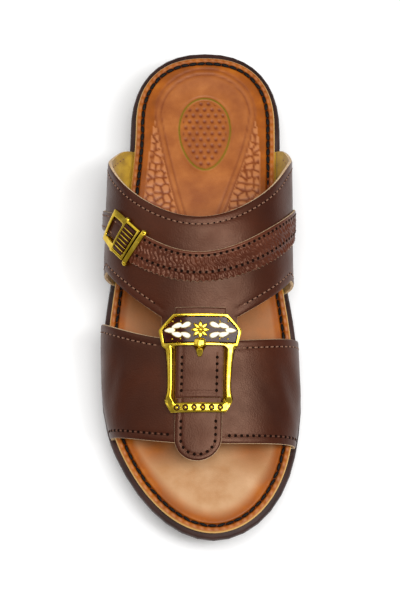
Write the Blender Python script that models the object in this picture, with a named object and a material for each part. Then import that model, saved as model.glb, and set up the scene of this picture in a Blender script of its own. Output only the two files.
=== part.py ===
# Slip-on sandal for the right foot: unit sole, cupped insole, two-strap upper, tab, trim strip and buckles.
# Metres, +Z up. The toe points along -Y and the medial side along +X.
# The origin is on the floor under the middle of the heel.

import functools
import math
from collections import namedtuple

import bpy
import numpy as np

MM = 0.001

# Gap between pieces that touch
GAP = 0.3 * MM

# Sole sizes
SOLE_LENGTH = 286 * MM
BALL_WIDTH = 110 * MM
HEEL_WIDTH = 86 * MM
HEEL_CENTRE = 42 * MM  # from the back of the heel to the origin
HEEL_HEIGHT = 31 * MM  # floor to the top of the rim, at the heel
BALL_HEIGHT = 21.5 * MM  # floor to the top of the rim, at the ball
TOE_SPRING = 8.5 * MM
ARCH_HEIGHT = 3 * MM
RIM_WIDTH = 3.2 * MM  # ledge of the sole outside the insole
HEEL_LEDGE = 2 * MM  # what the ledge gains behind the heel
SIDE_DEPTH = 3.8 * MM  # how deep the sole's side is shaped
TOE_UNDERCUT = 6 * MM  # how far the tread lies behind the rim at the toe
BEAD_HEIGHT = 5 * MM
GROOVE_DEPTH = 2.5 * MM
GROOVE_WIDTH = 3.4 * MM
GROOVE_PITCH = 9 * MM
TREAD_BORDER = 8 * MM

# Insole sizes
INSOLE_EDGE = 3.6 * MM
STITCH_CHANNEL = 1.2 * MM
HEEL_CUP = 1.7 * MM
ARCH_SUPPORT = 2.2 * MM

# Upper sizes
UPPER_WALL = 2.2 * MM
INSTEP_HEIGHT = 79 * MM  # floor to the middle of the wall, at the back edge of the instep strap
SIDE_SWELL = 15 * MM  # how far the instep strap stands out past its root, on the lateral side
ROOT_INSET = 2 * MM  # from the sole's edge to where the straps turn under
MARGIN = 8 * MM  # what is turned under the insole
SEAT_CLEARANCE = 2 * MM
SEAT_RAMP = 2.5 * MM
BRIDGE_WIDTH = 40 * MM
CORNER_TRIM = 4 * MM  # how far the rear corners of the instep strap are rounded off

# Tab, trim strip and side strap. The tab has a second layer in the main buckle's window.
TAB_WIDTH = 24 * MM
TAB_WALL = 1.8 * MM
TAB_LAYER = 1 * MM
TAB_LAYER_SETBACK = 2.4 * MM  # from the second layer's end to the main buckle's bar
TAB_OVERHANG = 9 * MM  # past the front edge of the vamp strap
TAB_OFFSET = 0.6 * MM  # towards the medial side, at the main buckle's plate
TAB_LEAN = 0.02  # drift towards the lateral side, per unit of run
TRIM_WIDTH = 15 * MM
TRIM_WALL = 1.4 * MM
SIDE_STRAP_WIDTH = 10 * MM
SIDE_STRAP_WALL = 1.2 * MM

# Main buckle
MAIN_BUCKLE_SETBACK = 66.9 * MM  # from the front edge of the vamp strap back to the buckle's plate
MAIN_BUCKLE_WIDTH = 41.5 * MM
MAIN_BUCKLE_LENGTH = 51 * MM
MAIN_PLATE_WALL = 1.2 * MM
MAIN_RIM_WIDTH = 1.3 * MM
MAIN_RIM_HEIGHT = 1.3 * MM
MAIN_RAIL_HEIGHT = 5.6 * MM
MAIN_BAR_WALL = 2.6 * MM
ENAMEL_WALL = 0.8 * MM
PRONG_WIDTH = 3.2 * MM
PRONG_LENGTH = 9.5 * MM
PRONG_WALL = 2.2 * MM

# Side buckle and keeper
SIDE_BUCKLE_WIDTH = 16.5 * MM
SIDE_BUCKLE_LENGTH = 23 * MM
SIDE_BUCKLE_WALL = 1 * MM
SIDE_BAR_WIDTH = 2.2 * MM
SIDE_PLATE_LENGTH = 11 * MM
SIDE_INLAY_WALL = 0.7 * MM
SIDE_INLAY_RIM = 1.2 * MM
KEEPER_WIDTH = 2.6 * MM
KEEPER_WALL = 1.4 * MM
SIDE_BUCKLE_TILT = 10  # degrees that the side buckle turns towards the heel from the trim strip's line

# Shape of the sole's outline: the round ends, as shares of the length, and how square they are
HEEL_ROUND = 0.17
HEEL_POWER = 2.3
TOE_ROUND = 0.30
TOE_POWER = 1.97

# place: share of the sole's length from the back. width: 0 is the heel's, 1 the ball's.
# centre: sideways shift towards the medial side, as a share of the ball's width.
Outline = namedtuple("Outline", "place width centre")
OUTLINE = (
    Outline(0.00, 0.00, 0.000),
    Outline(0.17, 0.00, 0.000),
    Outline(0.34, 0.13, -0.018),
    Outline(0.49, 0.55, -0.034),
    Outline(0.60, 0.87, -0.030),
    Outline(0.70, 1.00, -0.022),
    Outline(0.80, 1.00, -0.010),
    Outline(0.88, 1.00, 0.012),
    Outline(0.95, 1.00, 0.029),
    Outline(1.00, 1.00, 0.037),
)

# rim: 0 is the ball's height and 1 the heel's. spring: the rim's lift, as a share of the toe spring.
# floor: the same for the tread, and arch: its lift under the waist, as a share of the arch height.
Profile = namedtuple("Profile", "place rim spring floor arch")
PROFILE = (
    Profile(0.00, 1.00, 0.00, 0.12, 0.0),
    Profile(0.04, 0.99, 0.00, 0.00, 0.0),
    Profile(0.27, 0.88, 0.00, 0.00, 0.0),
    Profile(0.34, 0.68, 0.00, 0.00, 0.8),
    Profile(0.42, 0.42, 0.00, 0.00, 1.0),
    Profile(0.52, 0.14, 0.00, 0.00, 0.0),
    Profile(0.66, 0.00, 0.00, 0.00, 0.0),
    Profile(0.79, 0.00, 0.05, 0.00, 0.0),
    Profile(0.90, 0.00, 0.36, 0.38, 0.0),
    Profile(1.00, 0.00, 0.75, 1.00, 0.0),
)

# The sole's side, from the tread to the ledge. inset: share of the side's depth. wall: share of the side's
# height. bead: shares of the bead's height added to it. dip: share of the strap seats' depth taken off.
Side = namedtuple("Side", "inset wall bead dip")
SIDE = (
    Side(0.66, 0.00, 0.00, 0.0),
    Side(0.21, 0.00, 0.30, 0.0),
    Side(0.37, 0.45, 0.00, 0.0),
    Side(0.58, 0.50, 0.00, 0.0),
    Side(0.58, 0.55, 0.00, 0.0),
    Side(0.34, 0.60, 0.00, 0.0),
    Side(0.11, 1.00, -1.00, 0.0),
    Side(0.00, 1.00, -0.66, 0.4),
    Side(0.10, 1.00, -0.24, 0.9),
    Side(0.38, 1.00, 0.00, 1.0),
)

# Upper. height: top of the arch as a share of the instep height. lateral, medial: shares of the side swell.
Girth = namedtuple("Girth", "place height lateral medial")
GIRTH = (
    Girth(0.18, 1.040, 0.76, 0.46),
    Girth(0.35, 1.030, 0.61, 0.45),
    Girth(0.43, 1.000, 0.42, 0.35),
    Girth(0.52, 0.890, 0.19, 0.20),
    Girth(0.61, 0.780, 0.11, 0.10),
    Girth(0.70, 0.700, 0.03, 0.02),
    Girth(0.83, 0.600, 0.01, 0.01),
    Girth(0.92, 0.550, 0.01, 0.01),
)

# Where the edges of the straps lie, as shares of the sole's length: at both roots and over the foot.
Edge = namedtuple("Edge", "lateral_root medial_root top")
INSTEP_BACK = Edge(0.220, 0.220, 0.430)
INSTEP_FRONT = Edge(0.495, 0.512, 0.604)
VAMP_BACK = Edge(0.582, 0.618, 0.650)
VAMP_FRONT = Edge(0.805, 0.822, 0.834)
TRIM_PATH = Edge(0.362, 0.376, 0.518)
# The front edge of the instep strap runs straight from the side to the bridge.
INSTEP_FRONT_TURN = 0.68

# Main buckle's outline, as shares of its length and width: the plate, then the rails and the bottom bar
Corner = namedtuple("Corner", "along width")
PLATE_CORNERS = (Corner(0.0, 0.64), Corner(0.16, 1.0), Corner(0.325, 0.90))
RAIL_CORNERS = (
    Corner(0.36, 0.87),
    Corner(0.50, 0.82),
    Corner(0.73, 0.79),
    Corner(0.80, 0.81),
    Corner(0.855, 0.85),
    Corner(0.90, 0.80),
    Corner(1.0, 0.66),
)
WINDOW_END = 0.90

# Shares of the turn from the top of the foot to the root
TRIM_START_TURN = -0.35  # under the side keeper
TRIM_END_TURN = 0.95
SIDE_STRAP_END_TURN = -0.93
# Middle of the rounding of the instep strap's rear corners, and its spread
CORNER_TURN = 0.78
CORNER_SPREAD = 0.13

# Steps of the meshes
ROUND_STEPS = 10
WAIST_STEP = 0.03
LADDER_STEPS = 6
ARCH_STEPS = 22
INSTEP_ROWS = 9
BRIDGE_ROWS = 2
VAMP_ROWS = 7
TRIM_STEPS = 36


def smooth_curve(rows, column):
    # A curve through one column of a table that never overshoots and stays flat between equal rows.
    places = np.array([row.place for row in rows])
    values = np.array([getattr(row, column) for row in rows])
    steps = np.diff(places)
    rises = np.diff(values) / steps
    slopes = np.zeros(len(places))
    for i in range(1, len(places) - 1):
        if rises[i - 1] * rises[i] > 0:
            slopes[i] = 2 * rises[i - 1] * rises[i] / (rises[i - 1] + rises[i])
    slopes[-1] = rises[-1]

    def at(place):
        i = int(np.clip(np.searchsorted(places, place) - 1, 0, len(steps) - 1))
        x = min(max((place - places[i]) / steps[i], 0.0), 1.0)
        start = values[i] * (1 + 2 * x) * (1 - x) ** 2 + slopes[i] * steps[i] * x * (1 - x) ** 2
        end = values[i + 1] * x * x * (3 - 2 * x) + slopes[i + 1] * steps[i] * x * x * (x - 1)
        return float(start + end)

    return at


width_share = smooth_curve(OUTLINE, "width")
centre_share = smooth_curve(OUTLINE, "centre")
rim_share = smooth_curve(PROFILE, "rim")
rim_spring = smooth_curve(PROFILE, "spring")
floor_spring = smooth_curve(PROFILE, "floor")
arch_share = smooth_curve(PROFILE, "arch")
height_share = smooth_curve(GIRTH, "height")
swell_share = {-1: smooth_curve(GIRTH, "lateral"), 1: smooth_curve(GIRTH, "medial")}


def centre(place):
    return BALL_WIDTH * centre_share(place)


def half_width(place):
    if place < HEEL_ROUND:
        rest = (1 - place / HEEL_ROUND) ** HEEL_POWER
        return HEEL_WIDTH / 2 * (1 - rest) ** (1 / HEEL_POWER)
    if place > 1 - TOE_ROUND:
        rest = (1 - (1 - place) / TOE_ROUND) ** TOE_POWER
        return BALL_WIDTH / 2 * (1 - rest) ** (1 / TOE_POWER)
    return HEEL_WIDTH / 2 + (BALL_WIDTH - HEEL_WIDTH) / 2 * width_share(place)


def y_at(place):
    return HEEL_CENTRE - place * SOLE_LENGTH


def place_at(y):
    return (HEEL_CENTRE - y) / SOLE_LENGTH


def rim_z(place):
    # Top of the sole's rim, which is also what the insole lies on
    return BALL_HEIGHT + (HEEL_HEIGHT - BALL_HEIGHT) * rim_share(place) + TOE_SPRING * rim_spring(place)


def floor_z(place):
    return TOE_SPRING * floor_spring(place) + ARCH_HEIGHT * arch_share(place)


def seat_depth(place, side):
    # How deep the rim is recessed under a strap: full under the strap and its clearance, then a short ramp
    clear = SEAT_CLEARANCE / SOLE_LENGTH
    ramp = SEAT_RAMP / SOLE_LENGTH
    depth = 0.0
    for back, front in ((INSTEP_BACK, INSTEP_FRONT), (VAMP_BACK, VAMP_FRONT)):
        low = (back.lateral_root if side < 0 else back.medial_root) - clear
        high = (front.lateral_root if side < 0 else front.medial_root) + clear
        outside = max(low - place, place - high, 0.0)
        depth = max(depth, 1 - min(outside / ramp, 1.0))
    return depth * (UPPER_WALL + GAP)


def stations():
    # Shares of the length at which the sole and the insole have points, closer together at the round ends
    heel = [HEEL_ROUND * (1 - math.cos(math.pi / 2 * i / ROUND_STEPS)) for i in range(ROUND_STEPS)]
    toe = [1 - TOE_ROUND * (1 - math.cos(math.pi / 2 * i / ROUND_STEPS)) for i in range(ROUND_STEPS)]
    waist_count = round((1 - TOE_ROUND - HEEL_ROUND) / WAIST_STEP)
    waist = list(np.linspace(HEEL_ROUND, 1 - TOE_ROUND, waist_count + 1))
    clear = SEAT_CLEARANCE / SOLE_LENGTH
    ramp = SEAT_RAMP / SOLE_LENGTH
    seats = []
    for edge, way in ((INSTEP_BACK, -1), (INSTEP_FRONT, 1), (VAMP_BACK, -1), (VAMP_FRONT, 1)):
        for root in (edge.lateral_root, edge.medial_root):
            seats += [root + way * clear, root + way * (clear + ramp)]
    kept = []
    for place in sorted(set(seats)):
        if not kept or place - kept[-1] > 0.3 * ramp:
            kept.append(place)
    free = [p for p in heel + waist + toe if min(abs(p - s) for s in kept) > 0.9 * ramp]
    return sorted(kept + free)


PLACES = stations()


def outline(inset):
    # Closed ring of (x, y, place, side): lateral side from heel to toe, then back along the medial side
    ring = [(centre(p) - half_width(p), y_at(p), p, -1) for p in PLACES]
    ring += [(centre(p) + half_width(p), y_at(p), p, 1) for p in reversed(PLACES[1:-1])]
    points = np.array([(x, y) for x, y, _, _ in ring])
    along = np.roll(points, -1, axis=0) - np.roll(points, 1, axis=0)
    along /= np.linalg.norm(along, axis=1)[:, None]
    inward = np.stack([-along[:, 1], along[:, 0]], axis=1)
    moved = points + inset * inward
    return [(x, y, place, side) for (x, y), (_, _, place, side) in zip(moved, ring)]


def add_object(name, points, faces, sharp=35):
    mesh = bpy.data.meshes.new(name)
    mesh.from_pydata([tuple(p) for p in points], [], faces)
    mesh.validate()
    mesh.shade_smooth()
    mesh.set_sharp_from_angle(angle=math.radians(sharp))
    made = bpy.data.objects.new(name, mesh)
    bpy.context.scene.collection.objects.link(made)
    return made


def ring_faces(first, second, count):
    # Quads between two rings of the same number of points
    return [
        (first + i, first + (i + 1) % count, second + (i + 1) % count, second + i)
        for i in range(count)
    ]


def ladder(ring, start, height, points, up):
    # Closes a ring with rows from its lateral to its medial side. height gives z at (x, y).
    count = len(ring)
    last = count // 2
    rows = []
    for i in range(1, last):
        left, right = start + i, start + count - i
        a, b = np.array(points[left]), np.array(points[right])
        row = [left]
        for k in range(1, LADDER_STEPS):
            x, y, _ = a + (b - a) * k / LADDER_STEPS
            row.append(len(points))
            points.append((x, y, height(x, y)))
        row.append(right)
        rows.append(row)
    faces = [(start, rows[0][k], rows[0][k + 1]) for k in range(LADDER_STEPS)]
    for one, two in zip(rows, rows[1:]):
        faces += [(one[k], two[k], two[k + 1], one[k + 1]) for k in range(LADDER_STEPS)]
    faces += [(rows[-1][k], start + last, rows[-1][k + 1]) for k in range(LADDER_STEPS)]
    return faces if up else [tuple(reversed(face)) for face in faces]


def make_sole():
    points = []
    faces = []
    rings = 0
    for row in SIDE:
        for x, y, place, side in outline(row.inset * SIDE_DEPTH):
            at = place_at(y)
            low = floor_z(at)
            z = low + (rim_z(at) - low) * row.wall + BEAD_HEIGHT * row.bead
            back = TOE_UNDERCUT * floor_spring(at) * max(0.5 - row.wall, 0) * 2 if at > 0.5 else 0
            points.append((x, y + back, z - row.dip * seat_depth(place, side)))
        rings += 1
    # The seats end under the insole, where the middle of the sole is level with the rim.
    seat_end = ROOT_INSET + MARGIN + SEAT_CLEARANCE
    for inset, dip in ((seat_end, 1), (seat_end + GAP, 0)):
        for x, y, place, side in outline(inset):
            points.append((x, y, rim_z(place_at(y)) - dip * seat_depth(place, side)))
        rings += 1
    ring = outline(0)
    count = len(ring)
    for i in range(rings - 1):
        faces += ring_faces(i * count, (i + 1) * count, count)
    top = (rings - 1) * count
    faces += ladder(ring, 0, lambda x, y: floor_z(place_at(y)), points, up=False)
    faces += ladder(ring, top, lambda x, y: rim_z(place_at(y)), points, up=True)
    return add_object("sole", points, faces)


def groove_cutter(name, places):
    # Chevron grooves across the tread, pointing to the toe, within a border all round
    points = []
    faces = []
    half = GROOVE_WIDTH / 2
    for place in places:
        reach = half_width(place) - TREAD_BORDER
        middle = centre(place)
        lag = 0.18 * reach
        y = y_at(place)
        rails = ((middle - reach, y + lag), (middle, y), (middle + reach, y + lag))
        first = len(points)
        for z in (-GROOVE_DEPTH, GROOVE_DEPTH):
            points += [(x, b - half, z) for x, b in rails]
            points += [(x, b + half, z) for x, b in reversed(rails)]
        faces.append(tuple(first + i for i in reversed(range(6))))
        faces.append(tuple(first + 6 + i for i in range(6)))
        for i in range(6):
            j = (i + 1) % 6
            faces.append((first + i, first + j, first + 6 + j, first + 6 + i))
    cutter = add_object(name, points, faces)
    cutter.hide_render = True
    cutter.display_type = "WIRE"
    return cutter


def cut_tread(sole):
    pitch = GROOVE_PITCH / SOLE_LENGTH
    heel_at = HEEL_CENTRE / SOLE_LENGTH
    heel = [heel_at + pitch * step for step in (-2.5, -1.5, 1.0, 2.0, 3.0)]
    ball = [0.535 + pitch * step for step in range(8)]
    cutter = groove_cutter("tread_cutter", heel + ball)
    cut = sole.modifiers.new("tread", "BOOLEAN")
    cut.object = cutter
    cut.operation = "DIFFERENCE"


def eased(x):
    x = min(max(x, 0.0), 1.0)
    return x * x * (3 - 2 * x)


def insole_top(x, y, depth):
    # Height of the insole's face at a point that lies depth inside its edge
    place = place_at(y)
    inside = eased((depth - 6 * MM) / (18 * MM))
    heel = 1 - eased((place - 0.22) / 0.16)
    level = INSOLE_EDGE - HEEL_CUP * inside * (0.45 + 0.55 * heel)
    across = (x - centre(place)) / half_width(place)
    waist = eased((place - 0.22) / 0.12) * (1 - eased((place - 0.42) / 0.16))
    level += ARCH_SUPPORT * waist * eased((across - 0.1) / 0.6)
    return rim_z(place) + GAP + level


def heel_ledge(place):
    # How far the insole stays behind the sole's outline at the back of the heel
    return HEEL_LEDGE * max(1 - place / HEEL_ROUND, 0) ** 2


def make_insole():
    # Each row is (inset from the insole's edge, share of its thickness, depth of the stitch channel).
    edge = 1.1 * STITCH_CHANNEL
    rows = (
        (edge, 0.0, 0),
        (0.0, 0.42, 0),
        (0.35 * edge, 0.85, 0),
        (edge, 1.0, 0),
        (2.1 * edge, 1.0, 0),
        (2.5 * edge, 1.0, STITCH_CHANNEL),
        (3.4 * edge, 1.0, STITCH_CHANNEL),
        (3.8 * edge, 1.0, 0),
        (7 * edge, 1.0, 0),
        (13 * edge, 1.0, 0),
    )
    points = []
    faces = []
    for inset, share, channel in rows:
        for x, y, place, _ in outline(RIM_WIDTH + inset):
            y -= heel_ledge(place)
            low = rim_z(place_at(y)) + GAP
            points.append((x, y, low + (insole_top(x, y, inset) - low) * share - channel))
    ring = outline(0)
    count = len(ring)
    for i in range(len(rows) - 1):
        faces += ring_faces(i * count, (i + 1) * count, count)

    def middle(x, y):
        place = place_at(y)
        ends = min(place, 1 - place) * SOLE_LENGTH - RIM_WIDTH
        sides = half_width(place) - RIM_WIDTH - abs(x - centre(place))
        return insole_top(x, y, min(ends, sides))

    faces += ladder(ring, 0, lambda x, y: rim_z(place_at(y)) + GAP, points, up=False)
    faces += ladder(ring, (len(rows) - 1) * count, middle, points, up=True)
    return add_object("insole", points, faces)


def inward(place, side):
    # Unit step from the sole's edge to its inside, square to the edge
    step = 0.004
    one, two = place - step, place + step
    dx = centre(two) + side * half_width(two) - centre(one) - side * half_width(one)
    dy = y_at(two) - y_at(one)
    return side * np.array([dy, -dx]) / math.hypot(dx, dy)


@functools.lru_cache(maxsize=None)
def arch(place, side):
    # The ellipse that one side of the upper follows at this place: (x of the top, z of its centre,
    # half-width, half-height, angle from the top to the root). It leans past the root by the swell.
    top = centre(place)
    root = half_width(place) - ROOT_INSET
    reach = root + SIDE_SWELL * swell_share[side](place)
    turn = math.pi - math.asin(root / reach)
    low = rim_z(place) - UPPER_WALL / 2
    rise = (INSTEP_HEIGHT * height_share(place) - low) / (1 - math.cos(turn))
    return top, low - rise * math.cos(turn), reach, rise, turn


def arch_point(place, turn):
    # A point of the upper's middle surface. turn is -1 at the lateral root, 0 on top, 1 at the medial root.
    side = -1 if turn < 0 else 1
    top, middle, reach, rise, most = arch(place, side)
    angle = most * abs(turn)
    return np.array([top + side * reach * math.sin(angle), y_at(place), middle + rise * math.cos(angle)])


def arch_normal(place, turn):
    # Outward unit normal of the upper
    step = 0.002
    one, two = max(turn - step, -1.0), min(turn + step, 1.0)
    across = arch_point(place, two) - arch_point(place, one)
    along = arch_point(place - step, turn) - arch_point(place + step, turn)
    normal = np.cross(across, along)
    return normal / np.linalg.norm(normal)


@functools.lru_cache(maxsize=None)
def girth_lengths(place, side):
    turns = np.linspace(0, 1, 49)
    points = np.array([arch_point(place, side * max(turn, 1e-9)) for turn in turns])
    lengths = np.concatenate([[0], np.cumsum(np.linalg.norm(np.diff(points, axis=0), axis=1))])
    return turns, lengths


def turn_at(place, reach):
    # The turn at which the girth measured from the top of the foot is reach
    side = -1 if reach < 0 else 1
    turns, lengths = girth_lengths(round(place, 6), side)
    return side * float(np.interp(abs(reach), lengths, turns))


def girth_at(place, turn):
    side = -1 if turn < 0 else 1
    turns, lengths = girth_lengths(round(place, 6), side)
    return side * float(np.interp(abs(turn), turns, lengths))


def edge_place(edge, turn):
    # A strap edge runs from its roots to the top of the foot in one sweep.
    root = edge.lateral_root if turn < 0 else edge.medial_root
    return root + (edge.top - root) * (1 + math.cos(math.pi * turn)) / 2


def instep_back_place(turn):
    # The rear edge of the instep strap, with its corners rounded off
    rounding = math.exp(-((abs(turn) - CORNER_TURN) / CORNER_SPREAD) ** 2)
    return edge_place(INSTEP_BACK, turn) + CORNER_TRIM / SOLE_LENGTH * rounding


def bridge_turn(side):
    return abs(turn_at(INSTEP_FRONT.top, side * BRIDGE_WIDTH / 2))


def instep_front_place(turn):
    side = -1 if turn < 0 else 1
    root = INSTEP_FRONT.lateral_root if side < 0 else INSTEP_FRONT.medial_root
    share = (INSTEP_FRONT_TURN - abs(turn)) / (INSTEP_FRONT_TURN - bridge_turn(side))
    return root + (INSTEP_FRONT.top - root) * min(max(share, 0.0), 1.0)


def vertex_normals(points, faces):
    normals = np.zeros_like(points)
    for face in faces:
        corners = points[list(face)]
        area = np.cross(corners[2] - corners[0], corners[-1] - corners[1])
        normals[list(face)] += area
    return normals / np.linalg.norm(normals, axis=1)[:, None]


def closed_shell(name, points, normals, faces, low, high):
    # Closed wall between two offsets of an open surface. low and high are one number or one for each point.
    points = np.array(points)
    normals = np.array(normals)
    count = len(points)
    low = np.broadcast_to(low, count)[:, None]
    high = np.broadcast_to(high, count)[:, None]
    both = np.concatenate([points + high * normals, points + low * normals])
    walls = [tuple(face) for face in faces]
    walls += [tuple(count + i for i in reversed(face)) for face in faces]
    edges = set()
    for face in faces:
        for a, b in zip(face, face[1:] + face[:1]):
            if (b, a) in edges:
                edges.remove((b, a))
            else:
                edges.add((a, b))
    walls += [(b, a, count + a, count + b) for a, b in sorted(edges)]
    return add_object(name, both, walls)


def make_upper():
    # Columns run round the foot from the lateral to the medial root. Margins turn under beyond them.
    inner = {side: bridge_turn(side) for side in (-1, 1)}
    side_turns = np.linspace(0, 1, ARCH_STEPS - 3)
    lateral = [-(inner[-1] + (1 - inner[-1]) * share) for share in reversed(side_turns)]
    medial = [inner[1] + (1 - inner[1]) * share for share in side_turns]
    turns = lateral + [-inner[-1] / 2, 0.0, inner[1] / 2] + medial
    margins = (1.0, 0.66, 0.3)
    columns = [(-1, share) for share in margins] + [(0, turn) for turn in turns]
    columns += [(1, share) for share in reversed(margins)]
    points = []
    grid = {}

    def add(strap, row, column, place, root_place):
        kind, value = columns[column]
        if kind == 0:
            point = arch_point(place, value)
        else:
            x, y = arch_point(root_place, kind)[:2] + inward(root_place, kind) * MARGIN * value
            point = (x, y, rim_z(place_at(y)) - UPPER_WALL / 2)
        grid[strap, row, column] = len(points)
        points.append(point)

    def strap_rows(strap, rows, back, front):
        for column, (kind, value) in enumerate(columns):
            turn = value if kind == 0 else kind
            low, high = back(turn), front(turn)
            for row in range(rows + 1):
                place = low + (high - low) * row / rows
                add(strap, row, column, place, place)

    strap_rows("instep", INSTEP_ROWS, instep_back_place, instep_front_place)
    strap_rows("vamp", VAMP_ROWS, lambda t: edge_place(VAMP_BACK, t), lambda t: edge_place(VAMP_FRONT, t))
    bridge = range(len(margins) + len(lateral) - 1, len(margins) + len(lateral) + 4)
    for column in bridge:
        low = instep_front_place(columns[column][1])
        high = edge_place(VAMP_BACK, columns[column][1])
        for row in range(1, BRIDGE_ROWS):
            place = low + (high - low) * row / BRIDGE_ROWS
            add("bridge", row, column, place, place)
        grid["bridge", 0, column] = grid["instep", INSTEP_ROWS, column]
        grid["bridge", BRIDGE_ROWS, column] = grid["vamp", 0, column]
    faces = []
    whole = range(len(columns))
    spans = [("instep", INSTEP_ROWS, whole), ("bridge", BRIDGE_ROWS, bridge), ("vamp", VAMP_ROWS, whole)]
    for strap, rows, across in spans:
        for row in range(rows):
            for a in across[:-1]:
                corners = ((row, a), (row + 1, a), (row + 1, a + 1), (row, a + 1))
                faces.append(tuple(grid[strap, r, c] for r, c in corners))
    points = np.array(points)
    normals = vertex_normals(points, faces)
    return closed_shell("upper", points, normals, faces, -UPPER_WALL / 2, UPPER_WALL / 2)


def surface_frame(place, reach):
    turn = turn_at(place, reach)
    return arch_point(place, turn), arch_normal(place, turn)


def laid_grid(name, spots, lifts, kept=None):
    # A solid laid over the upper. spots and lifts are grids of (reach, run) and of (low, high) above the
    # middle of the upper's wall. kept says which cells of the grid are solid.
    rows, wide = len(spots), len(spots[0])
    cells = [(r, c) for r in range(rows - 1) for c in range(wide - 1) if kept is None or kept(r, c)]
    index = {}
    points = []
    normals = []
    heights = []
    faces = []
    for r, c in cells:
        face = []
        for corner in ((r, c), (r + 1, c), (r + 1, c + 1), (r, c + 1)):
            if corner not in index:
                index[corner] = len(points)
                reach, run = spots[corner[0]][corner[1]]
                point, normal = surface_frame(run / SOLE_LENGTH, reach)
                points.append(point)
                normals.append(normal)
                heights.append(lifts[corner[0]][corner[1]])
            face.append(index[corner])
        faces.append(tuple(face))
    a, b, c, d = (points[i] for i in faces[0])
    if np.dot(np.cross(c - a, d - b), normals[0]) < 0:
        faces = [tuple(reversed(face)) for face in faces]
    low, high = np.array(heights).T
    return closed_shell(name, points, normals, faces, low, high)


def tab_top(layers):
    # Height of the tab's face above the middle of the upper's wall
    return UPPER_WALL / 2 + GAP + TAB_WALL + TAB_LAYER * layers


def vamp_front():
    # From the back of the heel to the front edge of the vamp strap, over the top of the foot
    return VAMP_FRONT.top * SOLE_LENGTH


def buckle_start():
    return vamp_front() - MAIN_BUCKLE_SETBACK


def window_end():
    return buckle_start() + WINDOW_END * MAIN_BUCKLE_LENGTH


def tab_spot(x, run):
    # The tab and the main buckle lie on one straight line, though the foot's middle line curves.
    drift = centre(buckle_start() / SOLE_LENGTH) - centre(run / SOLE_LENGTH)
    return (x + drift + TAB_OFFSET - TAB_LEAN * (run - buckle_start()), run)


def make_tab():
    # A strap that runs under the main buckle and over the vamp, with a round end
    half = TAB_WIDTH / 2
    start = buckle_start() + MAIN_RIM_WIDTH + 3 * GAP
    step = window_end() - TAB_LAYER_SETBACK
    round_start = vamp_front() + TAB_OVERHANG - half
    rows = [(run, 1) for run in np.linspace(start, step, 8)]
    rows += [(run, 0) for run in np.linspace(step + GAP, round_start, 3)]
    rows += [(round_start + half * math.sin(math.pi / 2 * i / 6), 0) for i in range(1, 7)]
    spots = []
    lifts = []
    for run, layers in rows:
        beyond = max(run - round_start, 0.0)
        wide = max(math.sqrt(max(half * half - beyond * beyond, 0.0)), 0.12 * half)
        spots.append([tab_spot(wide * share, run) for share in np.linspace(-1, 1, 7)])
        lifts.append([(UPPER_WALL / 2 + GAP, tab_top(layers))] * 7)
    return laid_grid("tab", spots, lifts)


def plate_half(run, inset):
    # Half-width of the main buckle's plate at run from its start, for its outline moved in by inset
    corners = [(c.along * MAIN_BUCKLE_LENGTH, c.width * MAIN_BUCKLE_WIDTH / 2) for c in PLATE_CORNERS]
    widths = []
    for (run_a, half_a), (run_b, half_b) in zip(corners, corners[1:]):
        slope = (half_b - half_a) / (run_b - run_a)
        widths.append(half_a + slope * (run - run_a) - inset * math.hypot(1, slope))
    return min(widths)


def make_main_buckle():
    # One grid: the plate with its raised rim, then two rails and the bottom bar round the tab's window
    under_plate = tab_top(1) + GAP
    under_bar = tab_top(0) + GAP
    floor = under_plate + MAIN_PLATE_WALL
    rim = floor + MAIN_RIM_HEIGHT
    base = UPPER_WALL / 2 + GAP
    window = TAB_WIDTH / 2 + GAP
    end = PLATE_CORNERS[-1].along * MAIN_BUCKLE_LENGTH
    widest = PLATE_CORNERS[1].along * MAIN_BUCKLE_LENGTH
    inner = MAIN_RIM_WIDTH
    recess = MAIN_RIM_WIDTH + GAP
    spots = []
    lifts = []

    def add(run, halves, tops, unders):
        # halves, tops and unders run from the outer edge to the middle.
        mirrored = [-x for x in halves] + [x for x in reversed(halves[:-1])]
        spots.append([tab_spot(x, buckle_start() + run) for x in mirrored])
        pairs = list(zip(unders, tops))
        lifts.append(pairs + list(reversed(pairs[:-1])))

    for run in (0, inner, recess, widest, end - recess, end - inner):
        field = plate_half(run, recess)
        raised = run < recess or run > end - recess
        halves = [plate_half(run, 0), plate_half(run, inner), field, 0.6 * field, 0.3 * field, 0]
        middle = rim if raised else floor
        inside = base if run == 0 else under_plate
        add(run, halves, [rim, rim] + [middle] * 4, [base] + [inside] * 5)
    rails = [Corner(end / MAIN_BUCKLE_LENGTH, PLATE_CORNERS[-1].width)] + list(RAIL_CORNERS)
    for corner in rails:
        run = corner.along * MAIN_BUCKLE_LENGTH
        outer = corner.width * MAIN_BUCKLE_WIDTH / 2
        rail = outer - window
        halves = [outer, outer - 0.3 * rail, outer - 0.7 * rail, window, window / 2, 0]
        if corner is rails[0]:
            add(run, halves, [rim] * 6, [base] + [under_plate] * 5)
        elif corner.along < WINDOW_END:
            crown = base + MAIN_RAIL_HEIGHT
            low_edge = base + 0.45 * MAIN_RAIL_HEIGHT
            add(run, halves, [low_edge, crown, crown, low_edge, crown, crown], [base] * 6)
        else:
            top = under_bar + MAIN_BAR_WALL
            add(run, halves, [top] * 6, [base] * 3 + [under_bar] * 3)
    plate_rows = 6

    def kept(r, c):
        open_row = plate_rows <= r < len(spots) - 2
        return not (open_row and 3 <= c <= 6)

    return laid_grid("buckle_frame", spots, lifts, kept)


def enamel_floor():
    return tab_top(1) + GAP + MAIN_PLATE_WALL + GAP


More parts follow.
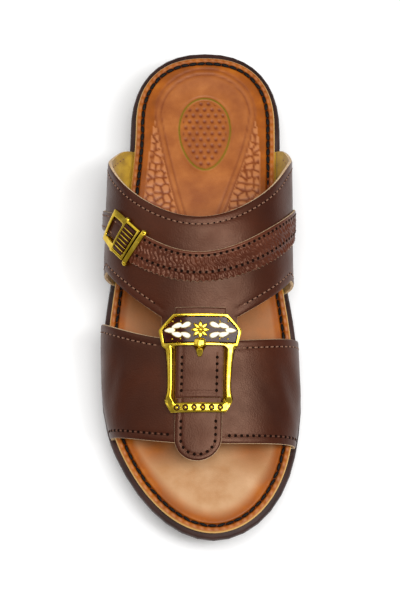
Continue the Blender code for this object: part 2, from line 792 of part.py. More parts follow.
def make_enamel():
    edge = MAIN_RIM_WIDTH + 2 * GAP
    end = PLATE_CORNERS[-1].along * MAIN_BUCKLE_LENGTH
    widest = PLATE_CORNERS[1].along * MAIN_BUCKLE_LENGTH
    low = enamel_floor()
    spots = []
    for run in (edge, (edge + widest) / 2, widest, (end - edge + widest) / 2, end - edge):
        half = plate_half(run, edge)
        spots.append([tab_spot(half * share, buckle_start() + run) for share in np.linspace(-1, 1, 9)])
    return laid_grid("buckle_enamel", spots, [[(low, low + ENAMEL_WALL)] * 9] * 5)


def make_prong():
    # Short prong: a ring over the plate's lower rim and a tapered end that lies on the tab
    over_rim = tab_top(1) + GAP + MAIN_PLATE_WALL + MAIN_RIM_HEIGHT + GAP
    on_tab = tab_top(1) + GAP
    end = PLATE_CORNERS[-1].along * MAIN_BUCKLE_LENGTH + GAP
    back = end - 0.42 * PRONG_LENGTH
    tip = end + 0.58 * PRONG_LENGTH
    rows = (
        (back, 0.55, over_rim, 0.45),
        (back + 0.1 * PRONG_LENGTH, 0.85, over_rim, 1.0),
        (end, 0.95, over_rim, 1.0),
        (end + GAP, 0.95, on_tab, 1.0 + (over_rim - on_tab) / PRONG_WALL),
        (end + 0.25 * PRONG_LENGTH, 0.55, on_tab, 1.1),
        (tip - 0.08 * PRONG_LENGTH, 0.42, on_tab, 0.75),
        (tip, 0.22, on_tab, 0.4),
    )
    spots = []
    lifts = []
    for run, share, low, wall in rows:
        half = share * PRONG_WIDTH
        spots.append([tab_spot(half * x, buckle_start() + run) for x in (-1, -0.5, 0, 0.5, 1)])
        lifts.append([(low, low + wall * PRONG_WALL * crown) for crown in (0.6, 0.92, 1, 0.92, 0.6)])
    return laid_grid("buckle_prong", spots, lifts)


def path_frame(edge, turn):
    # Girth and run of a point on a path across the upper, with the unit step along it in the same measures
    def at(t):
        place = edge_place(edge, t)
        return np.array([girth_at(place, t), place * SOLE_LENGTH])

    step = 0.01
    along = at(turn + step) - at(turn - step)
    return at(turn), along / np.linalg.norm(along)


def make_trim():
    # The strip has a thin flange along its front edge.
    profile = ((-1.0, 0.75), (-0.9, 1.0), (0.0, 1.0), (0.42, 1.0), (0.47, 0.6), (1.0, 0.5))
    low = UPPER_WALL / 2 + GAP
    spots = []
    lifts = []
    for turn in np.linspace(TRIM_START_TURN, TRIM_END_TURN, TRIM_STEPS):
        middle, along = path_frame(TRIM_PATH, turn)
        across = np.array([-along[1], along[0]])
        spots.append([tuple(middle + across * share * TRIM_WIDTH / 2) for share, _ in profile])
        lifts.append([(low, low + thick * TRIM_WALL) for _, thick in profile])
    return laid_grid("trim_strip", spots, lifts)


def side_spots(steps, halves):
    # Grid round the middle of the side buckle, which turns off the trim strip's line at the keeper: steps
    # along its own line towards the top, and across it
    keeper, path = path_frame(TRIM_PATH, TRIM_START_TURN)
    tilt = math.atan2(path[1], path[0]) + math.radians(SIDE_BUCKLE_TILT)
    along = np.array([math.cos(tilt), math.sin(tilt)])
    across = np.array([-along[1], along[0]])
    middle = keeper - along * (keeper_start() + KEEPER_WIDTH / 2)
    return [[tuple(middle + along * s + across * t) for t in halves] for s in steps]


def keeper_start():
    # From the middle of the side buckle to the keeper
    return SIDE_BUCKLE_LENGTH / 2 + 3 * GAP


def side_strap_top():
    return UPPER_WALL / 2 + GAP + SIDE_STRAP_WALL


def make_side_strap():
    # The strap end comes from under the side buckle's plate and runs down to the sole.
    profile = ((-1.0, 0.8), (-0.75, 1.0), (0.0, 1.0), (0.75, 1.0), (1.0, 0.8))
    low = UPPER_WALL / 2 + GAP
    top = SIDE_BUCKLE_LENGTH / 2 - 0.3 * SIDE_PLATE_LENGTH
    bottom = -SIDE_BUCKLE_LENGTH / 2 - SIDE_BAR_WIDTH
    spots = side_spots(np.linspace(top, bottom, 9), [share * SIDE_STRAP_WIDTH / 2 for share, _ in profile])
    root, root_along = path_frame(TRIM_PATH, SIDE_STRAP_END_TURN)
    root_across = np.array([-root_along[1], root_along[0]])
    last = [np.array(root + root_across * share * SIDE_STRAP_WIDTH / 2) for share, _ in profile]
    first = [np.array(spot) for spot in spots[-1]]
    for share in (0.2, 0.4, 0.6, 0.8, 1.0):
        spots.append([tuple(a + (b - a) * share) for a, b in zip(first, last)])
    lifts = [[(low, low + thick * SIDE_STRAP_WALL) for _, thick in profile]] * len(spots)
    return laid_grid("side_strap", spots, lifts)


def make_side_buckle():
    # A rectangular frame with a plate at its upper end
    half = SIDE_BUCKLE_LENGTH / 2
    window = SIDE_STRAP_WIDTH / 2 + GAP
    outer = SIDE_BUCKLE_WIDTH / 2
    base = UPPER_WALL / 2 + GAP
    under = side_strap_top() + GAP
    floor = under + SIDE_BUCKLE_WALL
    rim = floor + SIDE_INLAY_WALL
    plate = half - SIDE_PLATE_LENGTH
    steps = [-half, -half + SIDE_BAR_WIDTH, (plate - half + SIDE_BAR_WIDTH) / 2, plate]
    steps += [plate + SIDE_INLAY_RIM, plate + SIDE_INLAY_RIM + GAP]
    steps += [half - SIDE_INLAY_RIM - GAP, half - SIDE_INLAY_RIM, half]
    inlay = outer - SIDE_INLAY_RIM
    halves = (outer, inlay, inlay - GAP, window, 0, window, inlay - GAP, inlay, outer)
    signs = (-1, -1, -1, -1, 1, 1, 1, 1, 1)
    spots = side_spots(steps, [h * sign for h, sign in zip(halves, signs)])
    lifts = []
    for r in range(len(steps)):
        row = []
        for c in range(len(halves)):
            recessed = 5 <= r <= 6 and 2 <= c <= 6
            high = floor if recessed or r <= 2 else rim
            over_strap = 3 <= c <= 5 and (r <= 1 or r >= 3)
            row.append((under if over_strap else base, high))
        lifts.append(row)
    return laid_grid("side_buckle_frame", spots, lifts, lambda r, c: not (1 <= r <= 2 and 3 <= c <= 4))


def make_side_inlay():
    half = SIDE_BUCKLE_LENGTH / 2
    edge = SIDE_INLAY_RIM + 2 * GAP
    outer = SIDE_BUCKLE_WIDTH / 2 - edge
    low = side_strap_top() + GAP + SIDE_BUCKLE_WALL + GAP
    steps = np.linspace(half - SIDE_PLATE_LENGTH + edge, half - edge, 4)
    spots = side_spots(steps, np.linspace(-outer, outer, 13))
    ridges = [(low, low + SIDE_INLAY_WALL * (1.0 if c % 2 else 0.6)) for c in range(13)]
    return laid_grid("side_buckle_plate", spots, [ridges] * 4)


def make_keeper():
    # A loop across the end of the trim strip, with feet that reach down to the upper on both sides of it
    start = keeper_start()
    slant = math.radians(SIDE_BUCKLE_TILT)
    inner = (TRIM_WIDTH + KEEPER_WIDTH * math.sin(slant)) / 2 / math.cos(slant) + GAP
    outer = inner + KEEPER_WALL
    base = UPPER_WALL / 2 + GAP
    under = base + TRIM_WALL + GAP
    halves = [-outer, -inner, -inner + GAP, 0, inner - GAP, inner, outer]
    lows = [base, base, under, under, under, base, base]
    high = under + KEEPER_WALL
    tops = [high - 0.4 * KEEPER_WALL] + [high] * 5 + [high - 0.4 * KEEPER_WALL]
    spots = side_spots([start, start + KEEPER_WIDTH / 2, start + KEEPER_WIDTH], halves)
    return laid_grid("side_keeper", spots, [list(zip(lows, tops))] * 3)


# Colour as linear red, green and blue, then roughness and metallic value
Finish = namedtuple("Finish", "colour roughness metallic")
RUBBER = Finish((0.032, 0.013, 0.011), 0.6, 0.0)
TAN_LEATHER = Finish((0.45, 0.17, 0.06), 0.45, 0.0)
BROWN_LEATHER = Finish((0.085, 0.028, 0.016), 0.42, 0.0)
EMBOSSED_LEATHER = Finish((0.11, 0.04, 0.024), 0.5, 0.0)
GILT = Finish((0.80, 0.56, 0.06), 0.2, 1.0)
ENAMEL = Finish((0.028, 0.006, 0.003), 0.12, 0.0)


def coat(made, finish):
    paint = bpy.data.materials.new(made.name)
    paint.use_nodes = True
    shader = paint.node_tree.nodes["Principled BSDF"]
    shader.inputs["Base Color"].default_value = (*finish.colour, 1)
    shader.inputs["Roughness"].default_value = finish.roughness
    shader.inputs["Metallic"].default_value = finish.metallic
    made.data.materials.append(paint)


def main():
    for old in list(bpy.data.objects):
        bpy.data.objects.remove(old)
    sole = make_sole()
    cut_tread(sole)
    coat(sole, RUBBER)
    coat(make_insole(), TAN_LEATHER)
    coat(make_upper(), BROWN_LEATHER)
    coat(make_tab(), BROWN_LEATHER)
    coat(make_trim(), EMBOSSED_LEATHER)
    coat(make_side_strap(), BROWN_LEATHER)
    coat(make_main_buckle(), GILT)
    coat(make_enamel(), ENAMEL)
    coat(make_prong(), GILT)
    coat(make_side_buckle(), GILT)
    coat(make_side_inlay(), ENAMEL)
    coat(make_keeper(), GILT)


main()
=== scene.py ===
# Slip-on sandal for the right foot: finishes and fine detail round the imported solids. Metres, +Z up.
import math
from collections import namedtuple

import bmesh
import bpy
import numpy as np
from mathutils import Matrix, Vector


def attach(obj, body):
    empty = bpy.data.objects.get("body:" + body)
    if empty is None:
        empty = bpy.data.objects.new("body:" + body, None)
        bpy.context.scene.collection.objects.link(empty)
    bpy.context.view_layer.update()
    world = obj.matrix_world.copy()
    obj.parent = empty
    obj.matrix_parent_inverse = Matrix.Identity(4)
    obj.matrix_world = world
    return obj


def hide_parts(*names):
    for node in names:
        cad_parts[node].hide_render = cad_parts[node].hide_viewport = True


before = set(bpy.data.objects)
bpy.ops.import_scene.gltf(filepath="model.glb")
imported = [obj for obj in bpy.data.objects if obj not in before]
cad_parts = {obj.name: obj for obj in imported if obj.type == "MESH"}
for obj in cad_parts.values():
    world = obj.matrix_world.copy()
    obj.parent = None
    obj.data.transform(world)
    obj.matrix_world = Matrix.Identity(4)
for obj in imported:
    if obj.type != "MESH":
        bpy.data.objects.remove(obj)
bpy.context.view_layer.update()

mm = 0.001
gap = 0.3 * mm  # air between pieces that touch
print("frame loaded", len(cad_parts), "nodes")


# The last: sizes and sections that every piece follows

shoe = {
    "length": 286 * mm,
    "ballWidth": 110 * mm,
    "heelWidth": 86 * mm,
    "heelCentre": 42 * mm,  # back of the heel to the origin
    "heelHeight": 31 * mm,
    "ballHeight": 21.5 * mm,
    "toeSpring": 8.5 * mm,
    "rimWidth": 3.2 * mm,  # ledge of the sole outside the insole
    "heelLedge": 2 * mm,  # what the ledge gains behind the heel
    "instepHeight": 79 * mm,
    "sideSwell": 15 * mm,
    "rootInset": 2 * mm,
    "margin": 8 * mm,
    "wall": 2.2 * mm,
    "cornerTrim": 4 * mm,  # what rounds off the rear corners of the instep strap
}

Outline = namedtuple("Outline", "place width centre")
outlineRows = (
    Outline(0.00, 0.00, 0.000),
    Outline(0.17, 0.00, 0.000),
    Outline(0.34, 0.13, -0.018),
    Outline(0.49, 0.55, -0.034),
    Outline(0.60, 0.87, -0.030),
    Outline(0.70, 1.00, -0.022),
    Outline(0.80, 1.00, -0.010),
    Outline(0.88, 1.00, 0.012),
    Outline(0.95, 1.00, 0.029),
    Outline(1.00, 1.00, 0.037),
)
Profile = namedtuple("Profile", "place rim spring")
profileRows = (
    Profile(0.00, 1.00, 0.00),
    Profile(0.04, 0.99, 0.00),
    Profile(0.27, 0.88, 0.00),
    Profile(0.34, 0.68, 0.00),
    Profile(0.42, 0.42, 0.00),
    Profile(0.52, 0.14, 0.00),
    Profile(0.66, 0.00, 0.00),
    Profile(0.79, 0.00, 0.05),
    Profile(0.90, 0.00, 0.36),
    Profile(1.00, 0.00, 0.75),
)
Girth = namedtuple("Girth", "place height lateral medial")
girthRows = (
    Girth(0.18, 1.040, 0.76, 0.46),
    Girth(0.35, 1.030, 0.61, 0.45),
    Girth(0.43, 1.000, 0.42, 0.35),
    Girth(0.52, 0.890, 0.19, 0.20),
    Girth(0.61, 0.780, 0.11, 0.10),
    Girth(0.70, 0.700, 0.03, 0.02),
    Girth(0.83, 0.600, 0.01, 0.01),
    Girth(0.92, 0.550, 0.01, 0.01),
)
# Strap edges as shares of the length: at the two roots and over the top of the foot
Edge = namedtuple("Edge", "lateralRoot medialRoot top")
instepBack = Edge(0.220, 0.220, 0.430)
instepFront = Edge(0.495, 0.512, 0.604)
vampBack = Edge(0.582, 0.618, 0.650)
vampFront = Edge(0.805, 0.822, 0.834)
trimPath = Edge(0.362, 0.376, 0.518)
instepFrontTurn = 0.68
cornerTurn, cornerSpread = 0.78, 0.13
bridgeWidth = 40 * mm
heelRound, heelPower = 0.17, 2.3
toeRound, toePower = 0.30, 1.97


def smoothCurve(rows, column):
    # Same curve as the solids: it never overshoots and stays flat between equal rows.
    places = np.array([row.place for row in rows])
    values = np.array([getattr(row, column) for row in rows])
    steps = np.diff(places)
    rises = np.diff(values) / steps
    slopes = np.zeros(len(places))
    for i in range(1, len(places) - 1):
        if rises[i - 1] * rises[i] > 0:
            slopes[i] = 2 * rises[i - 1] * rises[i] / (rises[i - 1] + rises[i])
    slopes[-1] = rises[-1]

    def at(place):
        place = np.asarray(place, float)
        i = np.clip(np.searchsorted(places, place) - 1, 0, len(steps) - 1)
        x = np.clip((place - places[i]) / steps[i], 0, 1)
        start = values[i] * (1 + 2 * x) * (1 - x) ** 2 + slopes[i] * steps[i] * x * (1 - x) ** 2
        end = values[i + 1] * x * x * (3 - 2 * x) + slopes[i + 1] * steps[i] * x * x * (x - 1)
        return start + end

    return at


widthShare = smoothCurve(outlineRows, "width")
centreShare = smoothCurve(outlineRows, "centre")
rimShare = smoothCurve(profileRows, "rim")
rimSpring = smoothCurve(profileRows, "spring")
heightShare = smoothCurve(girthRows, "height")
lateralSwell = smoothCurve(girthRows, "lateral")
medialSwell = smoothCurve(girthRows, "medial")


def centre(place):
    return shoe["ballWidth"] * centreShare(place)


def halfWidth(place):
    place = np.clip(np.asarray(place, float), 0, 1)
    heel = 1 - np.clip(1 - place / heelRound, 0, 1) ** heelPower
    toe = 1 - np.clip(1 - (1 - place) / toeRound, 0, 1) ** toePower
    waist = shoe["heelWidth"] / 2 + (shoe["ballWidth"] - shoe["heelWidth"]) / 2 * widthShare(place)
    ends = np.where(place < 0.5, heel ** (1 / heelPower), toe ** (1 / toePower))
    return waist * ends


def yAt(place):
    return shoe["heelCentre"] - place * shoe["length"]


def placeAt(y):
    return (shoe["heelCentre"] - y) / shoe["length"]


def rimZ(place):
    rise = (shoe["heelHeight"] - shoe["ballHeight"]) * rimShare(place)
    return shoe["ballHeight"] + rise + shoe["toeSpring"] * rimSpring(place)


def archPoint(place, turn):
    # Middle surface of the upper. turn runs from -1 at the lateral root over 0 to 1 at the medial root.
    place, turn = np.broadcast_arrays(np.asarray(place, float), np.asarray(turn, float))
    side = np.where(turn < 0, -1, 1)
    root = halfWidth(place) - shoe["rootInset"]
    reach = root + shoe["sideSwell"] * np.where(turn < 0, lateralSwell(place), medialSwell(place))
    most = math.pi - np.arcsin(root / reach)
    low = rimZ(place) - shoe["wall"] / 2
    rise = (shoe["instepHeight"] * heightShare(place) - low) / (1 - np.cos(most))
    angle = most * np.abs(turn)
    x = centre(place) + side * reach * np.sin(angle)
    z = low - rise * np.cos(most) + rise * np.cos(angle)
    return np.stack([x, yAt(place), z], axis=-1)


def unit(v):
    return v / np.maximum(np.linalg.norm(v, axis=-1, keepdims=True), 1e-12)


def archNormal(place, turn):
    step = 0.002
    turn = np.asarray(turn, float)
    across = archPoint(place, np.minimum(turn + step, 1)) - archPoint(place, np.maximum(turn - step, -1))
    along = archPoint(np.asarray(place) - step, turn) - archPoint(np.asarray(place) + step, turn)
    return unit(np.cross(across, along))


class GirthTable:
    # Girth from the top of the foot for every place and turn, and the way back
    def __init__(self):
        self.places = np.linspace(0.15, 0.95, 161)
        self.turns = np.linspace(0, 1, 97)
        self.reaches = np.linspace(0, 120 * mm, 241)
        self.lengths, self.inverse = {}, {}
        for side in (-1, 1):
            turns = np.maximum(self.turns, 1e-9) * side
            points = archPoint(self.places[:, None], turns[None, :])
            steps = np.linalg.norm(np.diff(points, axis=1), axis=2)
            lengths = np.concatenate([np.zeros((len(self.places), 1)), np.cumsum(steps, axis=1)], axis=1)
            self.lengths[side] = lengths
            self.inverse[side] = np.array([np.interp(self.reaches, row, self.turns) for row in lengths])

    def blend(self, table, place, value, values):
        i = np.clip((place - self.places[0]) / (self.places[1] - self.places[0]), 0, len(self.places) - 1.001)
        j = np.clip((value - values[0]) / (values[1] - values[0]), 0, len(values) - 1.001)
        a, b = i.astype(int), j.astype(int)
        u, v = i - a, j - b
        low = table[a, b] * (1 - v) + table[a, b + 1] * v
        high = table[a + 1, b] * (1 - v) + table[a + 1, b + 1] * v
        return low * (1 - u) + high * u

    def turnAt(self, place, reach):
        place, reach = np.broadcast_arrays(np.asarray(place, float), np.asarray(reach, float))
        both = {s: self.blend(self.inverse[s], place, np.abs(reach), self.reaches) for s in (-1, 1)}
        return np.where(reach < 0, -both[-1], both[1])

    def girthAt(self, place, turn):
        place, turn = np.broadcast_arrays(np.asarray(place, float), np.asarray(turn, float))
        both = {s: self.blend(self.lengths[s], place, np.abs(turn), self.turns) for s in (-1, 1)}
        return np.where(turn < 0, -both[-1], both[1])


girth = GirthTable()


def edgePlace(edge, turn):
    turn = np.asarray(turn, float)
    root = np.where(turn < 0, edge.lateralRoot, edge.medialRoot)
    return root + (edge.top - root) * (1 + np.cos(math.pi * turn)) / 2


bridgeTurns = {s: float(abs(girth.turnAt(instepFront.top, s * bridgeWidth / 2))) for s in (-1, 1)}


def instepFrontPlace(turn):
    turn = np.asarray(turn, float)
    root = np.where(turn < 0, instepFront.lateralRoot, instepFront.medialRoot)
    inner = np.where(turn < 0, bridgeTurns[-1], bridgeTurns[1])
    share = (instepFrontTurn - np.abs(turn)) / (instepFrontTurn - inner)
    return root + (instepFront.top - root) * np.clip(share, 0, 1)


def onUpper(reach, run):
    # Point and normal of the upper's middle surface at a girth and a run from the back of the heel
    place = np.asarray(run, float) / shoe["length"]
    turn = girth.turnAt(place, reach)
    return archPoint(place, turn), archNormal(place, turn)


# Small tools for meshes and materials


def linear(hexColour):
    # sRGB hex to linear, with alpha 1
    values = [int(hexColour[i:i + 2], 16) / 255 for i in (1, 3, 5)]
    return [v / 12.92 if v <= 0.04045 else ((v + 0.055) / 1.055) ** 2.4 for v in values] + [1.0]


def addNode(tree, kind, links=None, **settings):
    # A node with its settings. links maps an input to a socket or to a fixed value.
    made = tree.nodes.new(kind)
    for key, value in settings.items():
        setattr(made, key, value)
    for key, value in (links or {}).items():
        target = made.inputs[key]
        if isinstance(value, bpy.types.NodeSocket):
            tree.links.new(value, target)
        else:
            target.default_value = value
    return made


def newMaterial(name, roughness, metallic=0.0, **sockets):
    made = bpy.data.materials.new(name)
    made.use_nodes = True
    shader = made.node_tree.nodes["Principled BSDF"]
    shader.inputs["Roughness"].default_value = roughness
    shader.inputs["Metallic"].default_value = metallic
    for key, value in sockets.items():
        shader.inputs[key].default_value = value
    return made, made.node_tree, shader


def ramp(tree, factor, stops):
    # Colour ramp from (position, hex) stops
    made = addNode(tree, "ShaderNodeValToRGB", {"Fac": factor})
    elements = made.color_ramp.elements
    while len(elements) < len(stops):
        elements.new(0.5)
    for element, (position, colour) in zip(elements, stops):
        element.position = position
        element.color = linear(colour)
    return made.outputs["Color"]


def noise(tree, place, size, detail=3.0, roughness=0.5):
    # size is that of one blotch or grain, in metres.
    links = {"Vector": place, "Scale": 1 / size, "Detail": detail, "Roughness": roughness}
    return addNode(tree, "ShaderNodeTexNoise", links).outputs["Fac"]


def mixColour(tree, factor, one, two):
    made = addNode(tree, "ShaderNodeMix", data_type="RGBA")
    for index, value in ((0, factor), (6, one), (7, two)):
        if isinstance(value, bpy.types.NodeSocket):
            tree.links.new(value, made.inputs[index])
        else:
            made.inputs[index].default_value = value
    return made.outputs[2]


def stretch(tree, value, low, high, toLow=0.0, toHigh=1.0):
    links = {"Value": value, "From Min": low, "From Max": high, "To Min": toLow, "To Max": toHigh}
    return addNode(tree, "ShaderNodeMapRange", links).outputs["Result"]


def bump(tree, height, depth, normal=None, strength=1.0):
    # depth is the height of the relief in metres.
    links = {"Height": height, "Distance": depth, "Strength": strength}
    if normal is not None:
        links["Normal"] = normal
    return addNode(tree, "ShaderNodeBump", links).outputs["Normal"]


def objectPlace(tree):
    return addNode(tree, "ShaderNodeTexCoord").outputs["Object"]


def meshObject(name, points, faces, materials, slots=None, smoothAngle=40):
    mesh = bpy.data.meshes.new(name)
    mesh.from_pydata(np.asarray(points, float).tolist(), [], [tuple(int(i) for i in f) for f in faces])
    mesh.validate()
    made = bpy.data.objects.new(name, mesh)
    bpy.context.scene.collection.objects.link(made)
    for material in materials:
        mesh.materials.append(material)
    if slots is not None and len(slots) == len(mesh.polygons):
        mesh.polygons.foreach_set("material_index", np.asarray(slots, np.int32))
    mesh.shade_smooth()
    mesh.set_sharp_from_angle(angle=math.radians(smoothAngle))
    return made


def setAttribute(piece, name, values):
    layer = piece.data.attributes.new(name, "FLOAT", "POINT")
    layer.data.foreach_set("value", np.asarray(values, np.float32))


def settle(piece):
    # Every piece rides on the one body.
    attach(piece, "root")


def gridFaces(rows, wide, kept=None):
    faces = []
    for r in range(rows - 1):
        for c in range(wide - 1):
            if kept is None or kept(r, c):
                i = r * wide + c
                faces.append((i, i + wide, i + wide + 1, i + 1))
    return faces


def spotGrid(reaches, runs):
    # A grid of (reach, run) spots from a row of reaches and a column of runs
    return np.stack(np.broadcast_arrays(reaches, runs), axis=-1).copy()


def shell(name, points, normals, faces, low, high, materials, smoothAngle=40):
    # Closed wall between two offsets of an open surface: outer faces, inner faces, then the cut edge.
    # The cut edge bulges a little between its two corners, as cut leather does.
    points = np.asarray(points, float)
    normals = np.asarray(normals, float)
    count = len(points)
    low = np.broadcast_to(low, count)[:, None]
    high = np.broadcast_to(high, count)[:, None]
    outer = [tuple(f) for f in faces]
    a, b, c = (points[i] for i in outer[len(outer) // 2][:3])
    if np.dot(np.cross(b - a, c - b), normals[outer[len(outer) // 2][0]]) < 0:
        outer = [tuple(reversed(f)) for f in outer]
    inner = [tuple(count + i for i in reversed(f)) for f in outer]
    edges = set()
    for face in outer:
        for p, q in zip(face, face[1:] + face[:1]):
            if (q, p) in edges:
                edges.remove((q, p))
            else:
                edges.add((p, q))
    outward = np.zeros_like(points)
    for p, q in edges:
        away = unit(np.cross(points[q] - points[p], normals[p]))
        outward[p] += away
        outward[q] += away
    rim = sorted({i for e in edges for i in e})
    where = {i: 2 * count + k for k, i in enumerate(rim)}
    out = unit(outward[rim])
    bulge = 0.16 * (high[rim] - low[rim])
    middle = points[rim] + normals[rim] * (high[rim] + low[rim]) / 2 + out * np.minimum(bulge, 0.35 * mm)
    every = np.concatenate([points + high * normals, points + low * normals, middle])
    walls = []
    for p, q in sorted(edges):
        walls.append((q, p, where[p], where[q]))
        walls.append((where[q], where[p], count + p, count + q))
    slots = [0] * len(outer) + [1] * len(inner) + [2] * len(walls)
    if len(materials) == 1:
        slots = [0] * len(slots)
    return meshObject(name, every, outer + inner + walls, materials, slots, smoothAngle)


def laidShell(name, spots, low, high, materials, kept=None, smoothAngle=40):
    # A shell laid over the upper. spots is a grid of (reach, run), low and high are heights over its middle.
    spots = np.asarray(spots, float)
    rows, wide = spots.shape[:2]
    points, normals = onUpper(spots[..., 0].ravel(), spots[..., 1].ravel())
    faces = gridFaces(rows, wide, kept)
    used = sorted({i for f in faces for i in f})
    index = {i: k for k, i in enumerate(used)}
    faces = [tuple(index[i] for i in f) for f in faces]
    low = np.broadcast_to(low, (rows, wide)).ravel()[used]
    high = np.broadcast_to(high, (rows, wide)).ravel()[used]
    return shell(name, points[used], normals[used], faces, low, high, materials, smoothAngle)


def castCopy(node, name, material, levels=2, crease=0.55, angle=32):
    # A smoothed copy of a cast CAD piece: its quads are restored, its edges kept firm, then subdivided.
    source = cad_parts[node]
    mesh = source.data.copy()
    mesh.name = name
    work = bmesh.new()
    work.from_mesh(mesh)
    bmesh.ops.remove_doubles(work, verts=work.verts, dist=0.01 * mm)
    bmesh.ops.join_triangles(work, faces=work.faces, angle_face_threshold=0.35, angle_shape_threshold=1.2)
    firm = work.edges.layers.float.get("crease_edge") or work.edges.layers.float.new("crease_edge")
    for edge in work.edges:
        edge.smooth = True
        if len(edge.link_faces) == 2 and edge.calc_face_angle(0) > math.radians(angle):
            edge[firm] = crease
    for face in work.faces:
        face.smooth = True
    work.to_mesh(mesh)
    work.free()
    mesh.materials.clear()
    mesh.materials.append(material)
    made = bpy.data.objects.new(name, mesh)
    bpy.context.scene.collection.objects.link(made)
    if levels:
        soft = made.modifiers.new("soft", "SUBSURF")
        soft.levels = soft.render_levels = levels
        made = baked(made)
    return made


def baked(piece):
    # Turns the evaluated piece into a plain mesh and drops its modifiers.
    name = piece.name
    graph = bpy.context.evaluated_depsgraph_get()
    mesh = bpy.data.meshes.new_from_object(piece.evaluated_get(graph), depsgraph=graph)
    old = piece.data
    piece.modifiers.clear()
    piece.data = mesh
    mesh.name = name
    if old.users == 0:
        bpy.data.meshes.remove(old)
    return piece


# Finishes

def makeCowhide(name, dark, middle, light, roughness, poreDepth):
    # Corrected-grain cowhide, dyed and waxed: fine pores, soft satin gloss, lighter where it has been pulled.
    # The wax lies in the dye, so its shine is warm.
    sockets = {"Specular IOR Level": 0.38, "Specular Tint": (1.0, 0.6, 0.42, 1.0)}
    made, tree, shader = newMaterial(name, roughness, **sockets)
    place = objectPlace(tree)
    cloud = noise(tree, place, 26 * mm, 4)
    fleck = noise(tree, place, 1.6 * mm, 3)
    tone = ramp(tree, cloud, ((0.30, dark), (0.52, middle), (0.74, light)))
    speckled = mixColour(tree, stretch(tree, fleck, 0.35, 0.7, 0.0, 0.35), tone, linear(dark))
    tree.links.new(speckled, shader.inputs["Base Color"])
    # Pores are about 0.5 mm in the hide and are drawn at 0.8 mm, which the render can show.
    cells = addNode(tree, "ShaderNodeTexVoronoi", {"Vector": place, "Scale": 1 / (0.8 * mm)})
    grain = bump(tree, cells.outputs["Distance"], poreDepth)
    wave = bump(tree, noise(tree, place, 9 * mm, 2), 0.25 * mm, grain, 0.5)
    tree.links.new(wave, shader.inputs["Normal"])
    gloss = stretch(tree, noise(tree, place, 14 * mm, 3), 0.3, 0.7, roughness - 0.06, roughness + 0.08)
    tree.links.new(gloss, shader.inputs["Roughness"])
    return made


def makeSuede():
    # Split suede, mustard: a soft nap that lies in drifts, no gloss.
    made, tree, shader = newMaterial("mustardSuede", 0.95, **{"Sheen Weight": 0.35, "Sheen Roughness": 0.5})
    place = objectPlace(tree)
    drift = noise(tree, place, 7 * mm, 4, 0.6)
    tone = ramp(tree, drift, ((0.3, "#8C6A08"), (0.5, "#A9820C"), (0.72, "#BE9A1E")))
    tree.links.new(tone, shader.inputs["Base Color"])
    tree.links.new(bump(tree, noise(tree, place, 0.6 * mm, 3, 0.7), 0.12 * mm), shader.inputs["Normal"])
    return made


def makeRawEdge():
    # Cut leather edge, undyed: pale fibres, matte.
    made, tree, shader = newMaterial("cutLeatherEdge", 0.85)
    place = objectPlace(tree)
    tone = ramp(tree, noise(tree, place, 0.9 * mm, 4), ((0.3, "#A5835E"), (0.5, "#CDB08A"), (0.7, "#DEC8A4")))
    tree.links.new(tone, shader.inputs["Base Color"])
    tree.links.new(bump(tree, noise(tree, place, 0.5 * mm, 3), 0.1 * mm), shader.inputs["Normal"])
    return made


def makeInsoleLeather():
    # Vegetable-tanned sock leather, burnished to orange at its edges and rubbed pale where the toes rest. Its
    # raised spots are lighter, partly rubbed and partly painted highlight; its hollows and two lobes before
    # the vamp are darkened with painted shade. The rim of the oval is hot-pressed gold foil.
    sockets = {"Specular IOR Level": 0.25, "Coat Weight": 0.05, "Coat Roughness": 0.3}
    made, tree, shader = newMaterial("burnishedTanLeather", 0.46, **sockets)
    place = objectPlace(tree)
    names = ("burnishAndShade", "toe", "hollowShade", "raised", "lip", "foil")
    amount = {n: addNode(tree, "ShaderNodeAttribute", attribute_name=n).outputs["Fac"] for n in names}
    cloud = noise(tree, place, 11 * mm, 4)
    heelTone = ramp(tree, cloud, ((0.3, "#8C4A1C"), (0.55, "#9E5A26"), (0.75, "#AE6A34")))
    toeTone = ramp(tree, cloud, ((0.3, "#AC7C50"), (0.55, "#BA8F66"), (0.75, "#C8A27C")))
    border = ramp(tree, cloud, ((0.3, "#7C3C00"), (0.55, "#964C02"), (0.75, "#AA5E0A")))
    field = mixColour(tree, amount["toe"], heelTone, toeTone)
    # The burnish and the painted shade fade in drifts, not along a clean line.
    drift = stretch(tree, cloud, 0.3, 0.7, -0.16, 0.16)
    drifted = addNode(tree, "ShaderNodeMath", {0: amount["burnishAndShade"], 1: drift})
    # Mixes towards the burnished border colour: real burnish at the edges, painted shade in the lobes before
    # the vamp.
    burnishedAndShaded = mixColour(tree, stretch(tree, drifted.outputs[0], 0.05, 0.95), field, border)
    # Raised spots lightened: partly rubbed, partly painted highlight on their tops.
    rubbedAndLit = mixColour(tree, amount["raised"], burnishedAndShaded, linear("#BC7A4A"))
    # sunk: the hollows are darkened to #642304, painted shade in the channel, grooves, pits and pebble gaps
    sunk = mixColour(tree, stretch(tree, amount["hollowShade"], 0.0, 1.0, 0.0, 0.88), rubbedAndLit, linear("#642304"))
    lipped = mixColour(tree, amount["lip"], sunk, linear("#D2A45C"))
    tree.links.new(mixColour(tree, amount["foil"], lipped, linear("#86701C")), shader.inputs["Base Color"])
    tree.links.new(stretch(tree, amount["foil"], 0.0, 1.0, 0.0, 0.7), shader.inputs["Metallic"])
    tree.links.new(stretch(tree, amount["foil"], 0.0, 1.0, 0.46, 0.3), shader.inputs["Roughness"])
    cells = addNode(tree, "ShaderNodeTexVoronoi", {"Vector": place, "Scale": 1 / (0.7 * mm)})
    grain = bump(tree, cells.outputs["Distance"], 0.05 * mm)
    tree.links.new(bump(tree, noise(tree, place, 6 * mm, 3), 0.12 * mm, grain, 0.5), shader.inputs["Normal"])
    return made


